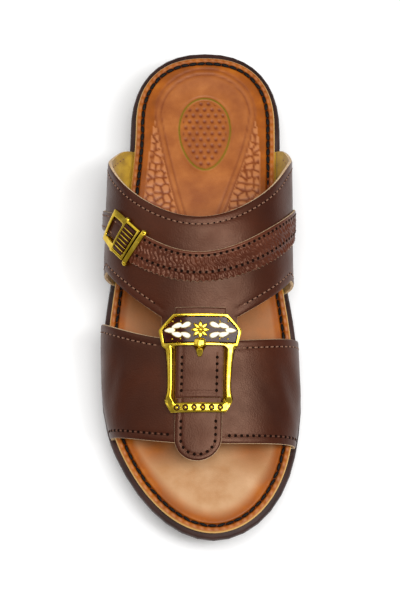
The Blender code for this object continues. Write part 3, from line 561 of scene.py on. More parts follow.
def makeThread(name, dark, light, roughness=0.55):
    # Waxed thread: twisted plies show as fine slanting bands.
    made, tree, shader = newMaterial(name, roughness, **{"Specular IOR Level": 0.2})
    place = objectPlace(tree)
    bands = addNode(tree, "ShaderNodeTexWave", {"Vector": place, "Scale": 1 / (2.6 * mm), "Distortion": 2.0})
    tree.links.new(ramp(tree, bands.outputs["Fac"], ((0.2, dark), (0.8, light))), shader.inputs["Base Color"])
    tree.links.new(bump(tree, bands.outputs["Fac"], 0.08 * mm), shader.inputs["Normal"])
    return made


def makeGilt():
    # Zinc casting, polished and plated with brassy gilt: bright and slightly greenish, its tone varying in
    # soft patches.
    made, tree, shader = newMaterial("polishedGilt", 0.14, 1.0)
    place = objectPlace(tree)
    cloud = noise(tree, place, 5 * mm, 3)
    tone = ramp(tree, cloud, ((0.3, "#BC9C26"), (0.55, "#D2B238"), (0.75, "#E4C858")))
    tree.links.new(tone, shader.inputs["Base Color"])
    smear = stretch(tree, noise(tree, place, 3 * mm, 4), 0.3, 0.7, 0.09, 0.2)
    tree.links.new(smear, shader.inputs["Roughness"])
    tree.links.new(bump(tree, noise(tree, place, 3.5 * mm, 2), 0.05 * mm, None, 0.4), shader.inputs["Normal"])
    return made


def makeEnamel(name, dark, light):
    # Poured enamel: deep colour under a glassy coat.
    made, tree, shader = newMaterial(name, 0.12, **{"Specular IOR Level": 0.16})
    tone = ramp(tree, noise(tree, objectPlace(tree), 4 * mm, 2), ((0.35, dark), (0.7, light)))
    tree.links.new(tone, shader.inputs["Base Color"])
    return made


def makeSoleRubber():
    # Moulded polyurethane, dark brown: matte skin with a faint pebble from the mould.
    made, tree, shader = newMaterial("mouldedPolyurethane", 0.5, **{"Specular IOR Level": 0.3})
    place = objectPlace(tree)
    cloud = noise(tree, place, 18 * mm, 4)
    tone = ramp(tree, cloud, ((0.3, "#24110C"), (0.55, "#311913"), (0.78, "#3D231B")))
    tree.links.new(tone, shader.inputs["Base Color"])
    skin = bump(tree, noise(tree, place, 0.7 * mm, 3, 0.6), 0.12 * mm)
    tree.links.new(skin, shader.inputs["Normal"])
    return made


def makePlain(name, colour, roughness, grain, depth, shine=0.5):
    # A dark or pale filler surface with a fine grain: the dark one is painted shade for needle holes, the
    # pale one is the floor.
    made, tree, shader = newMaterial(name, roughness, **{"Specular IOR Level": shine})
    shader.inputs["Base Color"].default_value = linear(colour)
    tree.links.new(bump(tree, noise(tree, objectPlace(tree), grain, 2), depth), shader.inputs["Normal"])
    return made


cowhide = makeCowhide("waxedBrownCowhide", "#2E1008", "#371408", "#401A0D", 0.37, 0.05 * mm)
embossedHide = makeCowhide("embossedBrownCowhide", "#3E1A0F", "#502617", "#623524", 0.32, 0.04 * mm)
suede = makeSuede()
rawEdge = makeRawEdge()
insoleLeather = makeInsoleLeather()
blackThread = makeThread("blackWaxedThread", "#030202", "#100C0A", 0.62)
tanThread = makeThread("tanThread", "#63402F", "#94705A")
brownThread = makeThread("brownWaxedThread", "#4A2617", "#6A4430")
gilt = makeGilt()
enamel = makeEnamel("darkPouredEnamel", "#280A04", "#3A1206")
whiteEnamel = makeEnamel("ivoryPouredEnamel", "#E4DDCB", "#F6F2E6")
rubber = makeSoleRubber()
# Needle holes: a near-black finish laid where each hole is, painted shade.
holeShade = makePlain("needleHoleShade", "#140602", 0.9, 0.6 * mm, 0.05 * mm, 0.08)
strapSkins = [cowhide, suede, rawEdge]  # outside, inside and cut edge
print("finishes made")


# Stitches, holes and beads: one tree lays a small rounded body on each point of a row

def makeRowTree():
    tree = bpy.data.node_groups.new("laidRow", "GeometryNodeTree")
    face = tree.interface
    face.new_socket("Geometry", in_out="INPUT", socket_type="NodeSocketGeometry")
    for name in ("Length", "Width", "Height", "Skew"):
        face.new_socket(name, in_out="INPUT", socket_type="NodeSocketFloat")
    face.new_socket("Seed", in_out="INPUT", socket_type="NodeSocketInt")
    face.new_socket("Finish", in_out="INPUT", socket_type="NodeSocketMaterial")
    face.new_socket("Geometry", in_out="OUTPUT", socket_type="NodeSocketGeometry")
    given = addNode(tree, "NodeGroupInput").outputs
    up = addNode(tree, "GeometryNodeInputNamedAttribute", {"Name": "up"}, data_type="FLOAT_VECTOR")
    along = addNode(tree, "GeometryNodeInputNamedAttribute", {"Name": "along"}, data_type="FLOAT_VECTOR")
    links = {"Primary Axis": up.outputs["Attribute"], "Secondary Axis": along.outputs["Attribute"]}
    turned = addNode(tree, "FunctionNodeAxesToRotation", links, primary_axis="Z", secondary_axis="X")
    least = addNode(tree, "ShaderNodeMath", {0: given["Skew"], 1: -1.0}, operation="MULTIPLY")
    drawn = addNode(tree, "FunctionNodeRandomValue", data_type="FLOAT")
    tree.links.new(least.outputs[0], drawn.inputs[2])
    tree.links.new(given["Skew"], drawn.inputs[3])
    tree.links.new(given["Seed"], drawn.inputs["Seed"])
    swing = addNode(tree, "ShaderNodeCombineXYZ", {"Z": drawn.outputs[1]})
    extra = addNode(tree, "FunctionNodeEulerToRotation", {"Euler": swing.outputs[0]})
    rotation = addNode(tree, "FunctionNodeRotateRotation", rotation_space="LOCAL")
    tree.links.new(turned.outputs[0], rotation.inputs[0])
    tree.links.new(extra.outputs[0], rotation.inputs[1])
    body = addNode(tree, "GeometryNodeMeshUVSphere", {"Segments": 8, "Rings": 6, "Radius": 0.5})
    shape = {"X": given["Length"], "Y": given["Width"], "Z": given["Height"]}
    size = addNode(tree, "ShaderNodeCombineXYZ", shape)
    laid = addNode(tree, "GeometryNodeInstanceOnPoints", {
        "Points": given["Geometry"],
        "Instance": body.outputs["Mesh"],
        "Rotation": rotation.outputs[0],
        "Scale": size.outputs[0],
    })
    real = addNode(tree, "GeometryNodeRealizeInstances", {"Geometry": laid.outputs[0]})
    smooth = addNode(tree, "GeometryNodeSetShadeSmooth", {"Geometry": real.outputs[0]})
    finish = {"Geometry": smooth.outputs[0], "Material": given["Finish"]}
    done = addNode(tree, "GeometryNodeSetMaterial", finish)
    addNode(tree, "NodeGroupOutput", {"Geometry": done.outputs[0]})
    return tree


rowTree = makeRowTree()


def layRow(name, centres, alongs, ups, size, material, slotName, skew=0.0, seed=1):
    # size is (length, width, height) of each body. skew is the most that one is turned, in radians.
    mesh = bpy.data.meshes.new(name)
    mesh.from_pydata(np.asarray(centres, float).tolist(), [], [])
    for key, vectors in (("along", alongs), ("up", ups)):
        layer = mesh.attributes.new(key, "FLOAT_VECTOR", "POINT")
        layer.data.foreach_set("vector", np.asarray(vectors, np.float32).ravel())
    made = bpy.data.objects.new(name, mesh)
    bpy.context.scene.collection.objects.link(made)
    row = made.modifiers.new("laidRow", "NODES")
    row.node_group = rowTree
    values = {"Length": size[0], "Width": size[1], "Height": size[2], "Skew": skew, "Seed": seed}
    values["Finish"] = material
    for item in rowTree.interface.items_tree:
        if item.in_out == "INPUT" and item.name in values:
            row[item.identifier] = values[item.name]
    baked(made)
    settle(made)
    return made


def spaced(points, normals, pitch, start=0.5):
    # Points one pitch apart along a line of points, with the line's direction and the normals there
    points, normals = np.asarray(points), np.asarray(normals)
    length = np.concatenate([[0], np.cumsum(np.linalg.norm(np.diff(points, axis=0), axis=1))])
    at = np.arange(start * pitch, length[-1] - 0.2 * pitch, pitch)

    def read(values, where):
        return np.stack([np.interp(where, length, values[:, k]) for k in range(3)], axis=1)

    ahead = read(points, np.minimum(at + 0.3 * pitch, length[-1]))
    behind = read(points, np.maximum(at - 0.3 * pitch, 0))
    return read(points, at), unit(ahead - behind), unit(read(normals, at))


stitching = {
    "pitch": 3.3 * mm,
    "thread": (2.3 * mm, 0.8 * mm, 0.6 * mm),
    "hole": (1.15 * mm, 0.95 * mm, 0.35 * mm),
    "darkHole": (1.9 * mm, 1.8 * mm, 0.75 * mm),
    "threadLift": 0.08 * mm,
    "holeLift": 0.02 * mm,
    "threadSkew": 0.12,
}


def sew(name, points, normals, slotName, pitch=None, seed=1, dark=False):
    # A row of thread stitches with a dark needle-hole mark between each two, painted shade standing for the
    # hole
    pitch = pitch or stitching["pitch"]
    thread = brownThread if dark else tanThread
    hole = stitching["darkHole" if dark else "hole"]
    at, along, up = spaced(points, normals, pitch)
    laid = at + up * stitching["threadLift"]
    size, skew = stitching["thread"], stitching["threadSkew"]
    layRow(name + "Thread", laid, along, up, size, thread, slotName, skew, seed)
    at, along, up = spaced(points, normals, pitch, 1.0)
    layRow(name + "Holes", at + up * stitching["holeLift"], along, up, hole, holeShade, slotName, 0.0, seed)


# Upper: two straps and the bridge, leather outside, suede inside, cut edges left raw

straps = {
    "edgeSteps": [s * mm for s in (0, 0.35, 0.9, 1.8, 2.8, 3.4, 3.9, 4.5, 5.4, 6.8)],
    "middleRows": 16,
    "bridgeRows": 8,
    "sideColumns": 62,
    "bridgeColumns": 22,
    "stitchInset": 3.9 * mm,
    "stitchSink": 0.2 * mm,
    "sinkReach": 0.85 * mm,
    "edgeRound": 0.3 * mm,
    "roundReach": 0.45 * mm,
}
# Soft troughs in the leather: place, turn, half-length along the strap's run and round the foot, depth
Trough = namedtuple("Trough", "place turn run round tilt depth")
troughs = (
    Trough(0.700, -0.62, 17 * mm, 5 * mm, 0.35, 0.55 * mm),
    Trough(0.745, -0.50, 14 * mm, 4 * mm, 0.50, 0.35 * mm),
    Trough(0.715, 0.66, 18 * mm, 5 * mm, -0.40, 0.55 * mm),
    Trough(0.760, 0.52, 12 * mm, 4 * mm, -0.60, 0.35 * mm),
    Trough(0.440, -0.72, 16 * mm, 5 * mm, -0.25, 0.40 * mm),
    Trough(0.520, 0.60, 13 * mm, 4 * mm, 0.70, 0.40 * mm),
    Trough(0.530, -0.50, 13 * mm, 4 * mm, -0.80, 0.35 * mm),
    Trough(0.330, 0.55, 14 * mm, 6 * mm, 0.20, 0.40 * mm),
)


def edgeStretch(edgeOf, turn):
    # How much longer a step square to a strap's edge is when measured along the run
    step = 0.01
    one, two = np.clip(turn - step, -1, 1), np.clip(turn + step, -1, 1)
    run = (edgeOf(two) - edgeOf(one)) * shoe["length"]
    around = girth.girthAt(edgeOf(two), two) - girth.girthAt(edgeOf(one), one)
    return np.sqrt(1 + (run / np.maximum(around, 1e-6)) ** 2)


def backOfInstep(turn):
    # Its two rear corners are rounded off.
    rounding = np.exp(-((np.abs(turn) - cornerTurn) / cornerSpread) ** 2)
    return edgePlace(instepBack, turn) + shoe["cornerTrim"] / shoe["length"] * rounding


def backOfVamp(turn):
    return edgePlace(vampBack, turn)


def frontOfVamp(turn):
    return edgePlace(vampFront, turn)


def troughLift(place, turn):
    lift = np.zeros(np.broadcast(place, turn).shape)
    around = girth.girthAt(place, turn)
    for t in troughs:
        dx = around - girth.girthAt(t.place, t.turn)
        dy = (place - t.place) * shoe["length"]
        u = dx * math.cos(t.tilt) + dy * math.sin(t.tilt)
        v = -dx * math.sin(t.tilt) + dy * math.cos(t.tilt)
        lift = lift - t.depth * np.exp(-(v / t.run) ** 2 - (u / t.round) ** 2)
        # A low ridge stands beside each trough.
        lift = lift + 0.3 * t.depth * np.exp(-(v / t.run) ** 2 - ((u - 2 * t.round) / t.round) ** 2)
    return lift


def rowPlaces(turn, backOf, frontOf):
    # Rows of one strap: close together at its two edges, even between
    back, front = backOf(turn), frontOf(turn)
    behind = edgeStretch(backOf, turn) / shoe["length"]
    ahead = edgeStretch(frontOf, turn) / shoe["length"]
    steps = np.array(straps["edgeSteps"])
    first = back[None, :] + steps[:, None] * behind[None, :]
    last = front[None, :] - steps[::-1, None] * ahead[None, :]
    shares = np.linspace(0, 1, straps["middleRows"] + 2)[1:-1, None]
    middle = first[-1] + (last[0] - first[-1]) * shares
    return np.concatenate([first, middle, last])


def edgeDistance(places, backOf, frontOf, turn):
    behind = (places - backOf(turn)) * shoe["length"] / edgeStretch(backOf, turn)
    ahead = (frontOf(turn) - places) * shoe["length"] / edgeStretch(frontOf, turn)
    return behind, ahead


def inward(place, side):
    step = 0.004
    dx = centre(place + step) + side * halfWidth(place + step)
    dx = dx - centre(place - step) - side * halfWidth(place - step)
    dy = yAt(place + step) - yAt(place - step)
    return side * np.stack([dy, -dx], axis=-1) / np.hypot(dx, dy)[..., None]


def makeUpper():
    inner = bridgeTurns
    side = np.linspace(0, 1, straps["sideColumns"])
    lateral = -(inner[-1] + (1 - inner[-1]) * side[::-1])
    medial = inner[1] + (1 - inner[1]) * side
    between = np.linspace(-inner[-1], inner[1], straps["bridgeColumns"])[1:-1]
    turns = np.concatenate([lateral, between, medial])
    first, last = len(lateral) - 1, len(lateral) + len(between)
    points, highs, lows, faces = [], [], [], []
    margins = (0.9, 0.5, 0.2)  # rows of the part turned under the insole, as shares of it
    far = 50 * mm  # stands for no edge near
    half = shoe["wall"] / 2
    rowsOf = {}

    def addVertices(place, turn, point, near):
        index = len(points)
        points.extend(point)
        rounded = straps["edgeRound"] * np.exp(-(near / straps["roundReach"]) ** 2)
        sink = straps["stitchSink"] * np.exp(-((near - straps["stitchInset"]) / straps["sinkReach"]) ** 2)
        lift = troughLift(place, turn)
        highs.extend(half - rounded - sink + lift)
        lows.extend(-half + 0.6 * rounded + lift)
        return index

    twoStraps = (("instep", backOfInstep, instepFrontPlace), ("vamp", backOfVamp, frontOfVamp))
    for name, backOf, frontOf in twoStraps:
        places = rowPlaces(turns, backOf, frontOf)
        behind, ahead = edgeDistance(places, backOf, frontOf, turns)
        # Over the bridge the two inner edges aren't edges.
        onBridge = np.zeros(len(turns), bool)
        onBridge[first + 1:last] = True
        if name == "instep":
            ahead = np.where(onBridge, far, ahead)
        else:
            behind = np.where(onBridge, far, behind)
        near = np.minimum(behind, ahead)
        rows = []
        for r in range(len(places)):
            start = addVertices(places[r], turns, archPoint(places[r], turns), near[r])
            row = list(range(start, start + len(turns)))
            for way in (-1, 1):
                turn = np.full(1, float(way))
                rootPlaces = rowPlaces(turn, backOf, frontOf)[r]
                root = archPoint(rootPlaces, turn)[0]
                step = inward(rootPlaces, way)[0]
                extra = []
                for share in margins:
                    xy = root[:2] + step * shoe["margin"] * share
                    z = rimZ(placeAt(xy[1])) - half
                    at = np.array([[xy[0], xy[1], z]])
                    extra.append(addVertices(rootPlaces, turn, at, np.full(1, 2 * mm)))
                row = extra + row if way < 0 else row + extra[::-1]
            rows.append(row)
        rowsOf[name] = rows
        for one, two in zip(rows, rows[1:]):
            faces += [(one[c], two[c], two[c + 1], one[c + 1]) for c in range(len(one) - 1)]
    shift = len(margins)
    acrossBridge = np.arange(first, last + 1)
    bridgeTurn = turns[acrossBridge]
    low, high = instepFrontPlace(bridgeTurn), backOfVamp(bridgeTurn)
    previous = [rowsOf["instep"][-1][c + shift] for c in acrossBridge]
    for r in range(1, straps["bridgeRows"]):
        place = low + (high - low) * r / straps["bridgeRows"]
        near = np.full(len(place), far)
        start = addVertices(place, bridgeTurn, archPoint(place, bridgeTurn), near)
        row = list(range(start, start + len(place)))
        faces += [(previous[c], row[c], row[c + 1], previous[c + 1]) for c in range(len(row) - 1)]
        previous = row
    row = [rowsOf["vamp"][0][c + shift] for c in acrossBridge]
    faces += [(previous[c], row[c], row[c + 1], previous[c + 1]) for c in range(len(row) - 1)]
    points = np.array(points)
    normals = np.zeros_like(points)
    corners = np.array(faces)
    a, b, c, d = (points[corners[:, k]] for k in range(4))
    area = np.cross(c - a, d - b)
    for k in range(4):
        np.add.at(normals, corners[:, k], area)
    normals = unit(normals)
    made = shell("upperStraps", points, normals, faces, np.array(lows), np.array(highs), strapSkins)
    settle(made)
    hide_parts("upper")


def sewStrapEdge(name, edgeOf, way, turns, seed, side=1, dark=False):
    inset = straps["stitchInset"]
    place = edgeOf(turns) + way * inset * edgeStretch(edgeOf, turns) / shoe["length"]
    normals = archNormal(place, turns)
    height = shoe["wall"] / 2 - straps["stitchSink"]
    lift = troughLift(place, turns)[:, None]
    points = archPoint(place, turns) + side * normals * (height + side * lift)
    sew(name, points, side * normals, "upper_leather", seed=seed, dark=dark)


makeUpper()
fine = 240
full = np.linspace(-0.93, 0.93, 2 * fine)
lateralSide = np.linspace(-0.93, -bridgeTurns[-1] - 0.03, fine)
medialSide = np.linspace(bridgeTurns[1] + 0.03, 0.93, fine)
sewStrapEdge("instepBack", backOfInstep, 1, full, 3)
sewStrapEdge("instepBackInside", backOfInstep, 1, full, 4, side=-1)
sewStrapEdge("instepFrontLateral", instepFrontPlace, -1, lateralSide, 5)
sewStrapEdge("instepFrontMedial", instepFrontPlace, -1, medialSide, 6)
sewStrapEdge("vampBackLateral", backOfVamp, 1, lateralSide, 7)
sewStrapEdge("vampBackMedial", backOfVamp, 1, medialSide, 8)
print("upper sewn")


# Insole: cupped sock with a sewn groove, a double horseshoe, pebbled side panels and an oval stamp

insole = {
    "edge": 3.6 * mm,
    "cup": 1.7 * mm,
    "arch": 2.2 * mm,
    "channelDepth": 1.3 * mm,
    "channelAt": 3.9 * mm,  # inside the insole's edge
    "ringPoints": 860,
    "rings": [s * mm for s in (
        1.3, 0.9, 0.45, 0.1, 0.0, 0.05, 0.25, 0.7, 1.2, 1.7, 2.2, 2.6, 2.95, 3.25, 3.55, 3.9, 4.25, 4.55,
        4.85, 5.2, 5.7, 6.3, 7.0, 7.8, 8.6, 9.4, 10.2, 11.1, 12.0, 12.9, 13.9, 14.9, 15.9, 17.0)],
    "ringShares": [0.0, 0.08, 0.18, 0.30, 0.45, 0.62, 0.80, 0.94],
    "columns": 84,
    "horseshoeTop": 29.2 * mm,
    "horseshoeTurn": 0.5 * mm,
    "horseshoeHalf": 28.6 * mm,
    "horseshoeNarrowing": 15.6 * mm,
    "horseshoeLength": 58.5 * mm,
    "horseshoeStep": 3.3 * mm,
    "horseshoeEnd": -92 * mm,
    "grooveDepth": 0.5 * mm,
    "grooveWidths": (0.55 * mm, 0.5 * mm),
    "ovalMiddle": (-0.3 * mm, -10.95 * mm),
    "ovalHalf": (14.5 * mm, 22.15 * mm),
    "foilWidth": 0.55 * mm,
    "pebble": 4.3 * mm,
    "pebbleHeight": 0.55 * mm,
    "pebbleSink": 0.35 * mm,
    "pebbleFlank": 1.7 * mm,
    "panelDepth": 5.9 * mm,  # from the insole's edge to a panel
    "panelRidge": 1.1 * mm,
    "pebbleEnd": -105 * mm,
    "pitSpacing": 4.3 * mm,
    "pitWidth": 2.2 * mm,
    "pitDepth": 0.55 * mm,
    "stitchPitch": 4.7 * mm,
    "stitchSize": (4.9 * mm, 1.5 * mm),
    "stitchWidth": {"Heel": 2.1 * mm, "Toe": 1.6 * mm},
    "gatherAt": 1.9 * mm,
    "gatherHeight": 0.24 * mm,
    "seamSplit": -80 * mm,  # forward of it the stitches are the toe's
    "burnishShadeLobeAt": (27 * mm, -194 * mm),
    "burnishShadeLobeSize": (13 * mm, 11 * mm),
}


def eased(x):
    x = np.clip(x, 0, 1)
    return x * x * (3 - 2 * x)


def outlineRing(count):
    # Evenly spaced ring on the sole's outline, with the step inwards at each point
    turns = np.linspace(0, math.pi / 2, 160)
    heel = heelRound * (1 - np.cos(turns))
    toe = 1 - toeRound * (1 - np.cos(turns))
    places = np.concatenate([heel, np.linspace(heelRound, 1 - toeRound, 300)[1:-1], toe[::-1]])
    sides = []
    for side in (-1, 1):
        line = np.stack([centre(places) + side * halfWidth(places), yAt(places)], axis=1)
        length = np.concatenate([[0], np.cumsum(np.linalg.norm(np.diff(line, axis=0), axis=1))])
        at = np.linspace(0, length[-1], count // 2 + 1)
        sides.append(np.stack([np.interp(at, length, line[:, k]) for k in (0, 1)], axis=1))
    ring = np.concatenate([sides[0], sides[1][-2:0:-1]])
    along = np.roll(ring, -1, axis=0) - np.roll(ring, 1, axis=0)
    along /= np.linalg.norm(along, axis=1)[:, None]
    return ring, np.stack([-along[:, 1], along[:, 0]], axis=1)


def lineDistance(points, line):
    # Distance from each point to a dense line of points
    nearest = np.full(len(points), 1.0)
    for start in range(0, len(points), 4000):
        part = points[start:start + 4000]
        away = np.linalg.norm(part[:, None, :] - line[None, :, :], axis=2)
        nearest[start:start + 4000] = away.min(axis=1)
    return nearest


def horseshoeAt(y, step=0.0):
    # Half-width of the horseshoe's line at y, for the line that lies step inside the outer one
    top = insole["horseshoeTop"] - step
    turn = insole["horseshoeTurn"]
    half = insole["horseshoeHalf"] - step
    crown = half * np.sqrt(np.clip(1 - ((y - turn) / (top - turn)) ** 2, 0, 1))
    down = np.clip((turn - y) / insole["horseshoeLength"], 0, 2)
    return np.where(y > turn, crown, half - insole["horseshoeNarrowing"] * down ** 1.25)


def horseshoeLine(step):
    top = insole["horseshoeTop"] - step
    turn = insole["horseshoeTurn"]
    angles = np.linspace(0, math.pi / 2, 90)
    straight = np.linspace(turn, insole["horseshoeEnd"], 180)[1:]
    ys = np.concatenate([turn + (top - turn) * np.cos(angles), straight])
    half = horseshoeAt(ys, step)
    middle = centre(placeAt(ys))
    return np.concatenate([np.stack([middle - half, ys], 1)[::-1], np.stack([middle + half, ys], 1)])


def ovalLine(grow=0.0):
    turns = np.linspace(0, 2 * math.pi, 240)
    a, b = insole["ovalHalf"][0] + grow, insole["ovalHalf"][1] + grow
    x = insole["ovalMiddle"][0] + a * np.sin(turns) * (1 + 0.12 * np.cos(turns))
    return np.stack([x, insole["ovalMiddle"][1] + b * np.cos(turns)], 1)


def inOval(points):
    t = np.clip((points[:, 1] - insole["ovalMiddle"][1]) / insole["ovalHalf"][1], -1, 1)
    half = insole["ovalHalf"][0] * np.sqrt(1 - t * t) * (1 + 0.12 * t)
    return np.abs(points[:, 0] - insole["ovalMiddle"][0]) < half


def jitteredCells(points, size, seed):
    # Distance to the nearest and the second nearest of one scattered centre for each square of a net
    rng = np.random.default_rng(seed)
    low = points.min(axis=0) - 2 * size
    count = np.ceil((points.max(axis=0) + 2 * size - low) / size).astype(int) + 1
    scatter = rng.uniform(0.12, 0.88, (count[0], count[1], 2))
    cell = np.floor((points - low) / size).astype(int)
    best = np.full((len(points), 2), 1.0)
    for dx in (-1, 0, 1):
        for dy in (-1, 0, 1):
            i = np.clip(cell[:, 0] + dx, 0, count[0] - 1)
            j = np.clip(cell[:, 1] + dy, 0, count[1] - 1)
            spot = low + (np.stack([i, j], 1) + scatter[i, j]) * size
            away = np.linalg.norm(points - spot, axis=1)
            best = np.sort(np.concatenate([best, away[:, None]], axis=1), axis=1)[:, :2]
    return best[:, 0], best[:, 1]


def insoleTop(points, depth):
    place = placeAt(points[:, 1])
    inside = eased((depth - 6 * mm) / (18 * mm))
    heel = 1 - eased((place - 0.22) / 0.16)
    level = insole["edge"] - insole["cup"] * inside * (0.45 + 0.55 * heel)
    across = (points[:, 0] - centre(place)) / np.maximum(halfWidth(place), 1 * mm)
    waist = eased((place - 0.22) / 0.12) * (1 - eased((place - 0.42) / 0.16))
    return level + insole["arch"] * waist * eased((across - 0.1) / 0.6)


def pressInsole(points, depth, around):
    # Pressed relief at each point, with how much painted shade lies in its hollows, how much burnish and
    # painted shade it has, how much rub and painted highlight its raised spots get, and how gilded it is
    place = placeAt(points[:, 1])
    relief = np.zeros(len(points))
    channel = np.exp(-((depth - insole["channelAt"]) / (1.0 * mm)) ** 4)
    relief -= insole["channelDepth"] * channel
    # Outside the seam the leather is gathered a little at each stitch.
    gather = np.exp(-((depth - insole["gatherAt"]) / (1.1 * mm)) ** 2)
    relief += insole["gatherHeight"] * gather * np.cos(2 * math.pi * around / insole["stitchPitch"])
    outer, inner = (lineDistance(points, horseshoeLine(s)) for s in (0.0, insole["horseshoeStep"]))
    grooves = sum(np.exp(-(away / w) ** 2) for away, w in zip((outer, inner), insole["grooveWidths"]))
    relief -= insole["grooveDepth"] * grooves
    middle = centre(place)
    across = np.abs(points[:, 0] - middle)
    edgeOfPanel = insole["horseshoeHalf"] + 5.2 * mm + 0.6 * np.clip(-points[:, 1], 0, 60 * mm) * 0.1
    fromLine = across - horseshoeAt(points[:, 1])
    tip = insole["horseshoeTurn"] - points[:, 1]
    panelWidth = np.minimum(edgeOfPanel - across, 0.35 * tip - fromLine)
    inPanel = (fromLine > 0.6 * mm) & (panelWidth > 0.4 * mm) & (tip > 0)
    inPanel &= depth > insole["panelDepth"]
    inPanel &= points[:, 1] > insole["pebbleEnd"]
    near, second = jitteredCells(points, insole["pebble"], 5)
    pebble = eased((second - near) / insole["pebbleFlank"])
    # A ridge borders each panel.
    border = np.minimum(fromLine - 0.6 * mm, panelWidth - 0.4 * mm)
    border = np.minimum(border, depth - insole["panelDepth"])
    pebble = np.maximum(pebble, 1 - eased(border / insole["panelRidge"]))
    relief += np.where(inPanel, insole["pebbleHeight"] * pebble - insole["pebbleSink"], 0)
    rings = lineDistance(points, ovalLine())
    relief -= 0.3 * mm * np.exp(-((rings - 1.3 * mm) / (0.5 * mm)) ** 2) * (rings < 3 * mm)
    foil = np.exp(-(rings / insole["foilWidth"]) ** 4)
    spacing = insole["pitSpacing"]
    u = (points[:, 0] - insole["ovalMiddle"][0]) / spacing
    row = np.round((points[:, 1] - insole["ovalMiddle"][1]) / (spacing * 0.87))
    shifted = u - 0.5 * (row % 2)
    du = (shifted - np.round(shifted)) * spacing
    dv = points[:, 1] - insole["ovalMiddle"][1] - row * spacing * 0.87
    pits = np.exp(-((np.hypot(du, dv)) / (0.5 * insole["pitWidth"])) ** 4)
    pits = pits * (inOval(points) & (rings > 1.9 * mm))
    relief -= insole["pitDepth"] * pits
    # Painted shade for the hollows: the channel, the horseshoe grooves, the pits and the gaps between pebbles
    # are darkened in the finish.
    hollowShade = np.clip(0.9 * channel + 0.6 * grooves + 0.95 * pits, 0, 1)
    hollowShade = np.maximum(hollowShade, np.where(inPanel, 0.8 * (1 - pebble), 0))
    # The gathers and the pebble tops are lightened, partly rubbing and partly painted highlight.
    gathered = 0.45 * gather * np.cos(math.pi * around / insole["stitchPitch"]) ** 2
    raised = np.where(inPanel, 0.75 * pebble, 0) + gathered
    burnishAndShade = 1 - eased((depth - 5.5 * mm) / (9 * mm))
    # Deep brown outside the horseshoe, and lighter again under the straps
    heel = 1 - eased((place - 0.40) / 0.10)
    burnishAndShade = np.maximum(burnishAndShade, heel * eased(fromLine / (1.5 * mm)))
    burnishAndShade = np.maximum(burnishAndShade, 0.35 * inOval(points))
    waist = eased((place - 0.36) / 0.08) * (1 - eased((place - 0.80) / 0.04))
    burnishAndShade = np.maximum(burnishAndShade, 0.6 * waist)
    # Two darker lobes in front of the vamp, beside the tab: partly burnish, partly painted shade cast by the
    # vamp's front edge
    (lobeX, lobeY), (lobeWide, lobeLong) = insole["burnishShadeLobeAt"], insole["burnishShadeLobeSize"]
    burnishShadeLobes = np.exp(-((points[:, 1] - lobeY) / lobeLong) ** 2)
    burnishShadeLobes = burnishShadeLobes * np.exp(-((across - lobeX) / lobeWide) ** 2)
    burnishAndShade = np.maximum(burnishAndShade, 0.75 * burnishShadeLobes)
    lip = 1 - eased((depth - 0.35 * mm) / (0.5 * mm))
    return relief, {"hollowShade": hollowShade, "burnishAndShade": burnishAndShade, "foil": foil, "raised": raised, "lip": lip}


